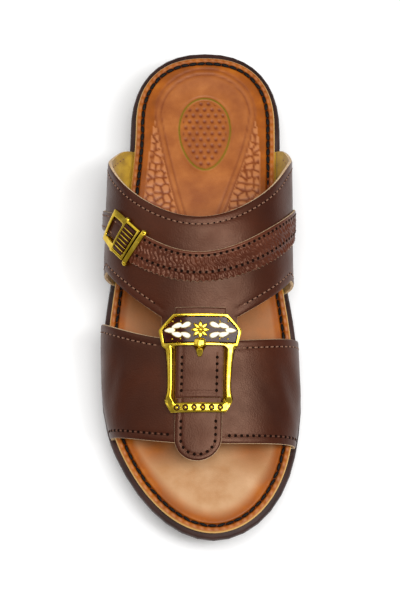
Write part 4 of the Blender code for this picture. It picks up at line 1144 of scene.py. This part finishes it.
def makeInsole():
    ring, inwards = outlineRing(insole["ringPoints"])
    count = len(ring)
    steps = np.linalg.norm(np.roll(ring, -1, axis=0) - ring, axis=1)
    around = np.concatenate([[0], np.cumsum(steps)[:-1]])
    pitches = round(steps.sum() / insole["stitchPitch"])
    around = around * pitches * insole["stitchPitch"] / steps.sum()
    # The insole stays a little forward of the sole's outline behind the heel.
    ledge = shoe["heelLedge"] * np.maximum(1 - placeAt(ring[:, 1]) / heelRound, 0) ** 2
    ring = ring - np.column_stack([np.zeros(count), ledge])
    flat, shares, rounds = [], [], []
    for k, inset in enumerate(insole["rings"]):
        flat.append(ring + (shoe["rimWidth"] + inset) * inwards)
        shares.append(np.full(count, insole["ringShares"][k] if k < len(insole["ringShares"]) else 1.0))
        rounds.append(around)
    faces, rows = [], len(insole["rings"])
    slots = []
    for r in range(rows - 1):
        for i in range(count):
            j = (i + 1) % count
            faces.append((r * count + i, (r + 1) * count + i, (r + 1) * count + j, r * count + j))
            slots.append(1 if r < 4 else 0)
    start = (rows - 1) * count
    last = count // 2
    inner = flat[-1]
    total = rows * count
    extra, previous = [], None
    wide = insole["columns"]
    for i in range(1, last):
        shareAcross = np.arange(1, wide)[:, None] / wide
        between = inner[i] + (inner[count - i] - inner[i]) * shareAcross
        row = [start + i] + list(range(total, total + wide - 1)) + [start + count - i]
        total += wide - 1
        extra.append(between)
        if previous is None:
            faces += [(start, row[k + 1], row[k]) for k in range(wide)]
        else:
            faces += [(previous[k], previous[k + 1], row[k + 1], row[k]) for k in range(wide)]
        previous = row
    faces += [(previous[k], previous[k + 1], start + last) for k in range(wide)]
    slots += [0] * (len(faces) - len(slots))
    flat = np.concatenate(flat + extra)
    shares = np.concatenate(shares + [np.ones(len(flat) - len(shares) * count)])
    rounds = np.concatenate(rounds + [np.zeros(len(flat) - len(rounds) * count)])
    depth = lineDistance(flat, ring) - shoe["rimWidth"]
    top = insoleTop(flat, np.maximum(depth, 0))
    relief, amounts = pressInsole(flat, depth, rounds)
    onTop = np.clip((shares - 0.9) / 0.1, 0, 1)
    low = rimZ(placeAt(flat[:, 1])) + gap
    z = low + top * shares + relief * onTop
    points = np.column_stack([flat, z])
    # Underside: the lowest ring closed with a ladder of long faces
    bottom = []
    for i in range(1, last - 1):
        bottom.append((i, i + 1, count - i - 1, count - i))
    bottom = [(0, 1, count - 1)] + bottom + [(last - 1, last, last + 1)]
    faces += [tuple(reversed(f)) for f in bottom]
    slots += [1] * len(bottom)
    made = meshObject("insoleSock", points, faces, [insoleLeather, rawEdge], slots, 60)
    place = placeAt(flat[:, 1])
    for name, values in amounts.items():
        setAttribute(made, name, values * onTop if name == "hollowShade" else values)
    setAttribute(made, "toe", eased((place - 0.42) / 0.16))
    settle(made)
    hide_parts("insole")
    # Seam: heavy waxed stitches in the groove
    inset = shoe["rimWidth"] + insole["channelAt"]
    seam = ring + inset * inwards
    seam = np.concatenate([seam, seam[:1]])
    z = rimZ(placeAt(seam[:, 1])) + gap + insole["edge"] - 0.35 * mm
    line = np.column_stack([seam, z])
    ups = np.tile((0.0, 0.0, 1.0), (len(line), 1))
    at, along, up = spaced(line, ups, insole["stitchPitch"])
    length, height = insole["stitchSize"]
    atHeel = at[:, 1] > insole["seamSplit"]
    for end, here in (("Heel", atHeel), ("Toe", ~atHeel)):
        size = (length, insole["stitchWidth"][end], height)
        laid = at[here], along[here], up[here]
        layRow("insoleSeam" + end, *laid, size, blackThread, "insole_leather", 0.2, 21)


makeInsole()
print("insole pressed and sewn")


# Tab: two layers under the main buckle, one over the vamp with a round end

tab = {
    "width": 24 * mm,
    "wall": 1.8 * mm,
    "layer": 1.0 * mm,
    "layerSetback": 2.4 * mm,  # from the second layer's end to the buckle's bar
    "overhang": 9 * mm,
    "offset": 0.6 * mm,
    "lean": 0.02,
    "stitchInset": 3.1 * mm,
    "stitchPitch": 3.5 * mm,
    "edgeRound": 0.35 * mm,
}
mainBuckle = {
    "setback": 66.9 * mm,
    "width": 41.5 * mm,
    "length": 51 * mm,
    "plateWall": 1.2 * mm,
    "rimWidth": 1.3 * mm,
    "enamelWall": 0.8 * mm,
    "barWall": 2.6 * mm,
    "windowEnd": 0.90,
    "plateEnd": 0.325,
    "beads": 6,
    "beadSpacing": 4.3 * mm,
    "beadSize": 2.1 * mm,
    "seatSize": 3.5 * mm,
}
Corner = namedtuple("Corner", "along width")
plateCorners = (Corner(0.0, 0.64), Corner(0.16, 1.0), Corner(0.325, 0.90))
vampEnd = vampFront.top * shoe["length"]
buckleStart = vampEnd - mainBuckle["setback"]
windowEnd = buckleStart + mainBuckle["windowEnd"] * mainBuckle["length"]
base = shoe["wall"] / 2 + gap


def onLine(reach, run):
    # The tab and the main buckle lie on one straight line, though the foot's middle line curves.
    drift = centre(buckleStart / shoe["length"]) - centre(np.asarray(run) / shoe["length"])
    return reach + drift + tab["offset"] - tab["lean"] * (run - buckleStart)


def tabTop(layers):
    return base + tab["wall"] + tab["layer"] * layers


def edgeDrop(distance, radius, most):
    # How far a cut edge is worn down at a distance from it
    return most * np.exp(-(distance / radius) ** 2)


def makeTab():
    half, inset = tab["width"] / 2, tab["stitchInset"]
    start = buckleStart + mainBuckle["rimWidth"] + 3 * gap
    step = windowEnd - tab["layerSetback"]
    roundStart = vampEnd + tab["overhang"] - half
    straight = np.linspace(start, roundStart, 110)
    turn = roundStart + half * np.sin(np.linspace(0, math.pi / 2, 30)[1:])
    runs = np.concatenate([straight, turn])
    beyond = np.maximum(runs - roundStart, 0)
    wide = np.maximum(np.sqrt(np.maximum(half ** 2 - beyond ** 2, 0)), 0.06 * half)
    shares = np.sin(np.linspace(-1, 1, 37) * math.pi / 2 * 0.93) / math.sin(math.pi / 2 * 0.93)
    spots = np.stack([wide[:, None] * shares, np.repeat(runs[:, None], len(shares), 1)], axis=-1)
    radial = np.hypot(spots[..., 0], np.maximum(spots[..., 1] - roundStart, 0))
    fromEdge = np.minimum(half - radial, spots[..., 1] - start + 2 * mm)
    drop = edgeDrop(fromEdge, 0.5 * mm, tab["edgeRound"]) + edgeDrop(fromEdge - inset, 0.7 * mm, 0.2 * mm)
    spots[..., 0] = onLine(spots[..., 0], spots[..., 1])
    lower = laidShell("tabLower", spots, base, tabTop(0) - drop, strapSkins)
    settle(lower)
    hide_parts("tab")
    runs = np.linspace(start, step, 70)
    shares = np.linspace(-1, 1, 31)
    spots = spotGrid(half * shares[None, :], runs[:, None])
    fromEdge = np.minimum(half - np.abs(spots[..., 0]), step - spots[..., 1])
    drop = edgeDrop(fromEdge, 0.4 * mm, 0.25 * mm) + edgeDrop(fromEdge - inset, 0.6 * mm, 0.15 * mm)
    spots[..., 0] = onLine(spots[..., 0], spots[..., 1])
    upper = laidShell("tabUpper", spots, tabTop(0) + 0.05 * mm, tabTop(1) - drop, strapSkins)
    settle(upper)
    # Stitches down both edges and round the end
    angles = np.linspace(-math.pi / 2, math.pi / 2, 60)
    down = np.linspace(buckleStart + mainBuckle["length"] + 1 * mm, roundStart, 60)
    straightReach = np.full(60, half - inset)
    reach = np.concatenate([-straightReach, (half - inset) * np.sin(angles), straightReach])
    run = np.concatenate([down, roundStart + (half - inset) * np.cos(angles), down[::-1]])
    points, normals = onUpper(onLine(reach, run), run)
    points = points + normals * (tabTop(0) - 0.2 * mm)
    sew("tabSeam", points, normals, "upper_leather", tab["stitchPitch"], 31, dark=True)
    for side, name in ((-1, "tabUpperSeamLateral"), (1, "tabUpperSeamMedial")):
        run = np.linspace(start + 17 * mm, step - 1 * mm, 40)
        points, normals = onUpper(onLine(np.full(40, side * (half - inset)), run), run)
        points = points + normals * (tabTop(1) - 0.15 * mm)
        sew(name, points, normals, "upper_leather", tab["stitchPitch"], 32, dark=True)


def sewVampFront():
    # The vamp's front seam stops on both sides of the tab.
    clear = tab["width"] / 2 + 1.3 * mm
    middle = float(onLine(0.0, vampEnd))
    lateralEnd, medialEnd = (float(girth.turnAt(vampFront.top, middle + s * clear)) for s in (-1, 1))
    sewStrapEdge("vampFrontLateral", frontOfVamp, -1, np.linspace(-0.93, lateralEnd, fine), 9, dark=True)
    sewStrapEdge("vampFrontMedial", frontOfVamp, -1, np.linspace(medialEnd, 0.93, fine), 10, dark=True)


lip = {"half": 13.2 * mm, "length": 3.2 * mm, "height": 1.0 * mm, "sunk": 0.2 * mm}


def makeLip():
    # The end of the bridge's facing stands up a little behind the buckle's plate.
    reach = np.linspace(-lip["half"], lip["half"], 41)
    run = np.linspace(buckleStart - lip["length"], buckleStart - gap, 12)
    spots = spotGrid(reach[None, :], run[:, None])
    fromEdge = np.minimum(spots[..., 1] - run[0], lip["half"] - np.abs(spots[..., 0]))
    drop = edgeDrop(fromEdge, 0.4 * mm, 0.25 * mm)
    spots[..., 0] = onLine(spots[..., 0], spots[..., 1])
    low, high = base - lip["sunk"], base + lip["height"] - drop
    made = laidShell("bridgeLip", spots, low, high, strapSkins)
    settle(made)


makeTab()
sewVampFront()
makeLip()
print("tab sewn")


# Trim strip: embossed strip round the instep strap, with a thin pinked flange along its front edge

trim = {
    "width": 15 * mm,
    "wall": 1.4 * mm,
    "startTurn": -0.35,
    "endTurn": 0.95,
    "columns": 460,
    "rows": 46,
    "ridgePitch": 2.4 * mm,
    "ridgeSlope": 0.55,  # how far a ridge runs on for each unit across
    "shortWave": 4.4 * mm,
    "longWave": 11.3 * mm,
    "scaleLength": 3.1 * mm,
    "scaleHeight": 0.62 * mm,
    "bareEdge": 2.6 * mm,  # without embossing, along the rear edge
    "stitchRows": (1.9 * mm, 10.2 * mm),  # from the rear edge
    "flangeAt": 0.42,
    "pinkPitch": 2.9 * mm,
}


def trimFrame(turns):
    # Girth and run of points along the path, with the unit step across it
    def at(t):
        place = edgePlace(trimPath, t)
        return np.stack([girth.girthAt(place, t), place * shoe["length"]], axis=-1)

    along = at(turns + 0.01) - at(turns - 0.01)
    along /= np.linalg.norm(along, axis=-1, keepdims=True)
    return at(turns), along, np.stack([-along[..., 1], along[..., 0]], axis=-1)


def embossing(u, w):
    # Wavy slanting ridges, each broken into scales that lap the next
    ridge = (u - trim["ridgeSlope"] * w) / trim["ridgePitch"]
    ridge = ridge + 0.20 * np.sin(2 * math.pi * w / trim["shortWave"])
    ridge = ridge + 0.16 * np.sin(2 * math.pi * (u + 0.8 * w) / trim["longWave"])
    across = w / trim["scaleLength"] + 0.5 * np.round(ridge) + 0.2 * np.sin(1.7 * np.round(ridge))
    crest = (0.5 + 0.5 * np.cos(2 * math.pi * ridge)) ** 0.8
    return crest * (0.5 + 0.5 * (0.5 + 0.5 * np.cos(2 * math.pi * across)) ** 0.6)


def makeTrim():
    turns = np.linspace(trim["startTurn"], trim["endTurn"], trim["columns"])
    middle, _, across = trimFrame(turns)
    length = np.concatenate([[0], np.cumsum(np.linalg.norm(np.diff(middle, axis=0), axis=1))])
    shares = np.linspace(-1, 1, trim["rows"])[None, :]
    half = trim["width"] / 2
    w = (shares + 1) * half
    u = length[:, None]
    pinked = np.clip((shares - 0.7) / 0.3, 0, 1) * (0.03 + 0.05 * np.cos(2 * math.pi * u / trim["pinkPitch"]))
    spots = middle[:, None, :] + across[:, None, :] * ((shares - pinked) * half)[..., None]
    sewn = np.exp(-((w - trim["stitchRows"][1]) / (0.8 * mm)) ** 4)
    field = eased((w - trim["bareEdge"]) / (0.6 * mm)) * (1 - 0.9 * sewn)
    flange = eased((shares - trim["flangeAt"]) / 0.12)
    thick = trim["wall"] * (1 - 0.42 * flange)
    thick = thick + trim["scaleHeight"] * field * (embossing(u, w) - 0.55)
    for at in trim["stitchRows"]:
        thick = thick - edgeDrop(w - at, 0.6 * mm, 0.2 * mm)
    thick = thick - edgeDrop(w, 0.5 * mm, 0.35 * mm)
    # The flange's thin edge waves between its stitches.
    loose = np.clip((shares - 0.55) / 0.4, 0, 1)
    wave = 0.2 * mm * loose * np.cos(2 * math.pi * u / trim["pinkPitch"])
    low = base + 0.5 * (wave + 0.2 * mm * loose)
    made = laidShell("trimStrip", spots, low, base + thick + wave, [embossedHide, suede, rawEdge])
    settle(made)
    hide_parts("trim_strip")
    for at, name, seed in zip(trim["stitchRows"], ("trimSeamRear", "trimSeamFront"), (41, 42)):
        line = middle + across * (at - half)
        points, normals = onUpper(line[:, 0], line[:, 1])
        points = points + normals * (base + trim["wall"] - 0.2 * mm)
        sew(name, points, normals, "embossed_leather", seed=seed, dark=True)


makeTrim()
print("trim strip laid")


# Side strap with its small buckle, and the keeper on the end of the trim strip

sideBuckle = {
    "width": 16.5 * mm,
    "length": 23 * mm,
    "wall": 1 * mm,
    "barWidth": 2.2 * mm,
    "plateLength": 11 * mm,
    "inlayWall": 0.7 * mm,
    "inlayRim": 1.2 * mm,
    "strapWidth": 10 * mm,
    "strapWall": 1.2 * mm,
    "strapEnd": -0.93,
    "keeperWidth": 2.6 * mm,
    "keeperWall": 1.4 * mm,
    "tilt": 10,  # degrees off the trim strip's line, towards the heel
    "ridges": 7,
    "ridgeSize": (8.6 * mm, 0.75 * mm, 0.7 * mm),
    "knob": 3.2 * mm,
    "seamInset": 2.2 * mm,
    "seamPitch": 2.6 * mm,
}


def sideSpots(steps, halves):
    # The buckle turns off the trim strip's line at the keeper. Steps run along its own line, from its middle.
    s = sideBuckle
    keeper, path, _ = (v[0] for v in trimFrame(np.array([trim["startTurn"]])))
    tilt = math.atan2(path[1], path[0]) + math.radians(s["tilt"])
    along = np.array([math.cos(tilt), math.sin(tilt)])
    across = np.array([-along[1], along[0]])
    middle = keeper - along * (s["length"] / 2 + 3 * gap + s["keeperWidth"] / 2)
    steps, halves = np.asarray(steps)[:, None, None], np.asarray(halves)[None, :, None]
    return middle + along * steps + across * halves


def makeSideStrap():
    s = sideBuckle
    top = s["length"] / 2 - 0.3 * s["plateLength"]
    bottom = -s["length"] / 2 - s["barWidth"]
    shares = np.linspace(-1, 1, 25)
    first = sideSpots(np.linspace(top, bottom, 50), shares * s["strapWidth"] / 2)
    root, _, across = (v[0] for v in trimFrame(np.array([s["strapEnd"]])))
    last = root + across * (shares * s["strapWidth"] / 2)[:, None]
    more = [first[-1] + (last - first[-1]) * t for t in np.linspace(0, 1, 40)[1:]]
    spots = np.concatenate([first, np.array(more)])
    fromEdge = (1 - np.abs(shares)) * s["strapWidth"] / 2
    drop = edgeDrop(fromEdge, 0.5 * mm, 0.3 * mm) + edgeDrop(fromEdge - s["seamInset"], 0.5 * mm, 0.15 * mm)
    made = laidShell("sideStrap", spots, base, base + s["strapWall"] - drop[None, :], strapSkins)
    settle(made)
    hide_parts("side_strap")
    height = base + s["strapWall"] - 0.15 * mm
    for name, side, seed in (("sideStrapSeamFront", -1, 51), ("sideStrapSeamRear", 1, 52)):
        at = np.argmin(np.abs(shares * s["strapWidth"] / 2 - side * (s["strapWidth"] / 2 - s["seamInset"])))
        line = spots[32:-4, at]
        points, normals = onUpper(line[:, 0], line[:, 1])
        sew(name, points + normals * height, normals, "upper_leather", pitch=s["seamPitch"], seed=seed)


def makeCasts():
    names = {"buckle_frame": "mainFrame", "buckle_prong": "mainProng", "side_buckle_frame": "sideFrame",
             "side_keeper": "sideKeeper"}
    for node, name in names.items():
        made = castCopy(node, name, gilt, 2, 0.6)
        settle(made)
        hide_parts(node)


def makeSideInlay():
    s = sideBuckle
    edge = s["inlayRim"] + 2 * gap
    outer = s["width"] / 2 - edge
    low = base + s["strapWall"] + gap + s["wall"] + gap
    steps = np.linspace(s["length"] / 2 - s["plateLength"] + edge, s["length"] / 2 - edge, 24)
    halves = np.linspace(-outer, outer, 97)
    spots = sideSpots(steps, halves)
    ridge = 0.5 + 0.5 * np.cos(2 * math.pi * (halves / (2 * outer)) * s["ridges"])
    lift = s["inlayWall"] * (0.55 + 0.45 * ridge)
    made = laidShell("sideInlay", spots, low, low + lift[None, :], [enamel])
    settle(made)
    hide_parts("side_buckle_plate")
    ends = sideSpots([s["length"] / 2, 0.0], [0.0])[:, 0]
    two, _ = onUpper(ends[:, 0], ends[:, 1])
    along = unit(two[:1] - two[1:])

    def layGilt(name, step, halves, height, size):
        spots = sideSpots([step], halves)[0]
        points, normals = onUpper(spots[:, 0], spots[:, 1])
        alongs = np.repeat(along, len(points), 0)
        layRow(name, points + normals * height, alongs, normals, size, gilt, "gilt_metal")

    # Gilt ridges stand out of the enamel, and round knobs end the hinge pin and the keeper.
    middle = s["length"] / 2 - s["plateLength"] / 2
    peaks = 2 * outer * (np.arange(1, s["ridges"]) / s["ridges"] - 0.5)
    layGilt("sideRidges", middle, peaks, low + 0.9 * s["inlayWall"], s["ridgeSize"])
    knob = (s["knob"],) * 3
    hinge = s["width"] / 2 - 0.2 * mm
    layGilt("hingeKnobs", s["length"] / 2 - s["plateLength"], [-hinge, hinge], base + 1.6 * mm, knob)
    keeperAt = s["length"] / 2 + 3 * gap + s["keeperWidth"] / 2
    foot = trim["width"] / 2 + gap + 0.7 * s["keeperWall"]
    layGilt("keeperKnobs", keeperAt, [-foot, foot], base + trim["wall"] + 0.3 * mm, knob)


makeSideStrap()
makeCasts()
makeSideInlay()
print("straps and castings placed")


# Main buckle's plate: dark enamel with a rosette between two leafy sprays, and beads in the bottom bar

ornament = {
    "rosettePetals": 8,
    "rosetteRadius": 4.6 * mm,
    "leafLength": 6.0 * mm,
    "leafWidth": 3.2 * mm,
    "sprays": ((7.2, -2.5, 24), (7.2, 2.5, -24), (11.6, -2.2, 16), (11.6, 2.2, -16), (15.0, 0.0, 0)),
    "relief": 0.8 * mm,
    "ivoryHeight": 0.6 * mm,
    "rim": (0.8 * mm, 0.7 * mm),  # gilt seen past the ends and past the sides of each leaf
    "beadReaches": (9.6, 13.6),
    "beadRuns": (-4.6, 4.6),
    "beadSize": (1.1 * mm, 1.1 * mm, 1.0 * mm),
    "buttonSize": (2.6 * mm, 2.6 * mm, 1.8 * mm),
}


def plateHalf(run, inset):
    corners = [(c.along * mainBuckle["length"], c.width * mainBuckle["width"] / 2) for c in plateCorners]
    widths = []
    for (runA, halfA), (runB, halfB) in zip(corners, corners[1:]):
        slope = (halfB - halfA) / (runB - runA)
        widths.append(halfA + slope * (run - runA) - inset * math.hypot(1, slope))
    return np.minimum(*widths)


enamelLow = tabTop(1) + gap + mainBuckle["plateWall"] + gap
enamelTop = enamelLow + mainBuckle["enamelWall"]


def makeEnamelPlate():
    edge = mainBuckle["rimWidth"] + 2 * gap
    runs = np.linspace(edge, mainBuckle["plateEnd"] * mainBuckle["length"] - edge, 30)
    halves = plateHalf(runs, edge)
    shares = np.linspace(-1, 1, 61)
    spots = spotGrid(halves[:, None] * shares, buckleStart + runs[:, None])
    spots[..., 0] = onLine(spots[..., 0], spots[..., 1])
    made = laidShell("mainEnamel", spots, enamelLow, enamelTop, [enamel], smoothAngle=30)
    settle(made)
    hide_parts("buckle_enamel")


def reliefMesh(name, forms, material, low):
    # forms: outlines of (reach, run) points with a middle and a height, each made a crowned low relief
    points, faces = [], []
    for outline, middle, height in forms:
        outline = np.asarray(outline) * 1.0
        outline[:, 0] = onLine(outline[:, 0], outline[:, 1])
        middle = np.array([onLine(middle[0], middle[1]), middle[1]])
        rings = [(1.0, 0.0), (0.93, 0.6), (0.7, 0.9), (0.35, 1.0)]
        start = len(points)
        count = len(outline)
        for share, lift in rings:
            at = middle + (outline - middle) * share
            spots, normals = onUpper(at[:, 0], at[:, 1])
            points.extend(spots + normals * (low + height * lift))
        spots, normals = onUpper(middle[0:1], middle[1:2])
        points.extend(spots + normals * (low + height))
        top = len(points) - 1
        points.extend(spots + normals * low)
        for r in range(len(rings) - 1):
            for i in range(count):
                j = (i + 1) % count
                faces.append((start + r * count + i, start + r * count + j,
                              start + (r + 1) * count + j, start + (r + 1) * count + i))
        last = start + (len(rings) - 1) * count
        faces += [(last + i, last + (i + 1) % count, top) for i in range(count)]
        faces += [(start + (i + 1) % count, start + i, top + 1) for i in range(count)]
    made = meshObject(name, points, faces, [material], smoothAngle=50)
    work = bmesh.new()
    work.from_mesh(made.data)
    bmesh.ops.recalc_face_normals(work, faces=work.faces)
    work.to_mesh(made.data)
    work.free()
    settle(made)
    return made


def leafOutline(middle, length, width, angle):
    turns = np.linspace(0, 2 * math.pi, 18, endpoint=False)
    x = 0.5 * length * np.cos(turns)
    y = 0.5 * width * np.sin(turns) * (1 - 0.35 * np.cos(turns))
    c, s = math.cos(angle), math.sin(angle)
    return np.stack([middle[0] + c * x - s * y, middle[1] + s * x + c * y], axis=1)


def makeOrnament():
    o = ornament
    middleRun = buckleStart + 0.5 * mainBuckle["plateEnd"] * mainBuckle["length"] + 0.3 * mm
    rims, whites = [], []
    for k in range(o["rosettePetals"]):
        angle = 2 * math.pi * k / o["rosettePetals"]
        at = np.array([math.cos(angle), math.sin(angle)]) * o["rosetteRadius"] * 0.6 + (0, middleRun)
        rims.append((leafOutline(at, 0.9 * o["rosetteRadius"], 2.2 * mm, angle), at, o["relief"]))
    for side in (-1, 1):
        for reach, run, tilt in o["sprays"]:
            at = np.array([side * reach * mm, middleRun + run * mm])
            angle = math.radians(side * tilt) + (math.pi if side < 0 else 0)
            rims.append((leafOutline(at, o["leafLength"], o["leafWidth"], angle), at, 0.6 * o["relief"]))
            inner = leafOutline(at, o["leafLength"] - o["rim"][0], o["leafWidth"] - o["rim"][1], angle)
            whites.append((inner, at, o["ivoryHeight"]))
    reliefMesh("ornamentGold", rims, gilt, enamelTop - 0.15 * mm)
    reliefMesh("ornamentIvory", whites, whiteEnamel, enamelTop + 0.15 * mm)
    beads = [(side * reach, run) for side in (-1, 1) for reach in o["beadReaches"] for run in o["beadRuns"]]
    beads = np.array(beads) * mm + (0, middleRun)
    points, normals = onUpper(onLine(beads[:, 0], beads[:, 1]), beads[:, 1])
    along = np.tile((1.0, 0.0, 0.0), (len(points), 1))
    at = points + normals * (enamelTop + 0.1 * mm)
    layRow("ornamentBeads", at, along, normals, o["beadSize"], gilt, "gilt_metal")
    points, normals = onUpper(onLine(np.zeros(1), np.full(1, middleRun)), np.full(1, middleRun))
    at = points + normals * (enamelTop + 0.5 * mm)
    layRow("rosetteButton", at, along[:1], normals, o["buttonSize"], gilt, "gilt_metal")


def makeBarBeads():
    m = mainBuckle
    reach = (np.arange(m["beads"]) - (m["beads"] - 1) / 2) * m["beadSpacing"]
    run = np.full(m["beads"], (windowEnd + buckleStart + m["length"]) / 2)
    points, normals = onUpper(onLine(reach, run), run)
    top = tabTop(0) + gap + m["barWall"]
    along = np.tile((1.0, 0.0, 0.0), (len(points), 1))
    seat = (m["seatSize"], m["seatSize"], 0.5 * mm)
    layRow("barSeats", points + normals * top, along, normals, seat, enamel, "dark_enamel")
    size = (m["beadSize"], m["beadSize"], 1.7 * mm)
    layRow("barBeads", points + normals * top, along, normals, size, gilt, "gilt_metal")


makeEnamelPlate()
makeOrnament()
makeBarBeads()
print("main buckle dressed")


# Sole

def makeSole():
    made = castCopy("sole", "unitSole", rubber, 0)
    made.data.set_sharp_from_angle(angle=math.radians(38))
    settle(made)
    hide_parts("sole")


makeSole()
print("sole finished")


# Floor, light and camera

stage = {
    "floorSize": 6.0,
    "target": (-3 * mm, -100.5 * mm, 0.0),
    "elevation": 71,
    "distance": 0.9,
    "lens": 94.0,
    "sensor": 36,
    "skyColour": "#FFFDFA",
    "skyStrength": 0.36,
}
# The straps slope to the toe, so the boxes that light their tops stand over the toe.
Box = namedtuple("Box", "name place size power")
lightBoxes = (
    Box("overheadBox", (0.06, -0.30, 1.0), 0.45, 5.6),
    Box("rightBox", (0.46, -0.32, 0.9), 0.36, 4.4),
    Box("leftBox", (-0.8, 0.25, 0.95), 1.2, 4.0),
)


def makeFloor():
    half = stage["floorSize"] / 2
    z = -0.2 * mm
    points = [(-half, -half, z), (half, -half, z), (half, half, z), (-half, half, z)]
    paper = makePlain("whiteCard", "#FAFAFA", 0.9, 0.4 * mm, 0.02 * mm)
    meshObject("floor", points, [(0, 1, 2, 3)], [paper])


def aimed(made, target):
    # Turns a light or camera so that it looks at the target
    away = Vector(made.location) - Vector(target)
    made.rotation_euler = away.to_track_quat("Z", "Y").to_euler()


def addLight(box):
    lamp = bpy.data.lights.new(box.name, "AREA")
    lamp.shape = "SQUARE"
    lamp.size = box.size
    lamp.energy = box.power
    made = bpy.data.objects.new(box.name, lamp)
    made.location = box.place
    bpy.context.scene.collection.objects.link(made)
    aimed(made, stage["target"])


def makeStudio():
    for box in lightBoxes:
        addLight(box)
    world = bpy.data.worlds.new("studio")
    world.use_nodes = True
    sky = world.node_tree.nodes["Background"]
    sky.inputs["Color"].default_value = linear(stage["skyColour"])
    sky.inputs["Strength"].default_value = stage["skyStrength"]
    bpy.context.scene.world = world
    bpy.context.scene.view_settings.view_transform = "Standard"
    tilt = math.radians(stage["elevation"])
    reach = stage["distance"]
    x, y, z = stage["target"]
    camera = bpy.data.cameras.new("camera")
    camera.lens = stage["lens"]
    camera.sensor_width = stage["sensor"]
    made = bpy.data.objects.new("camera", camera)
    made.location = (x, y - reach * math.cos(tilt), z + reach * math.sin(tilt))
    bpy.context.scene.collection.objects.link(made)
    aimed(made, stage["target"])
    bpy.context.scene.camera = made


makeFloor()
makeStudio()
print("studio set")
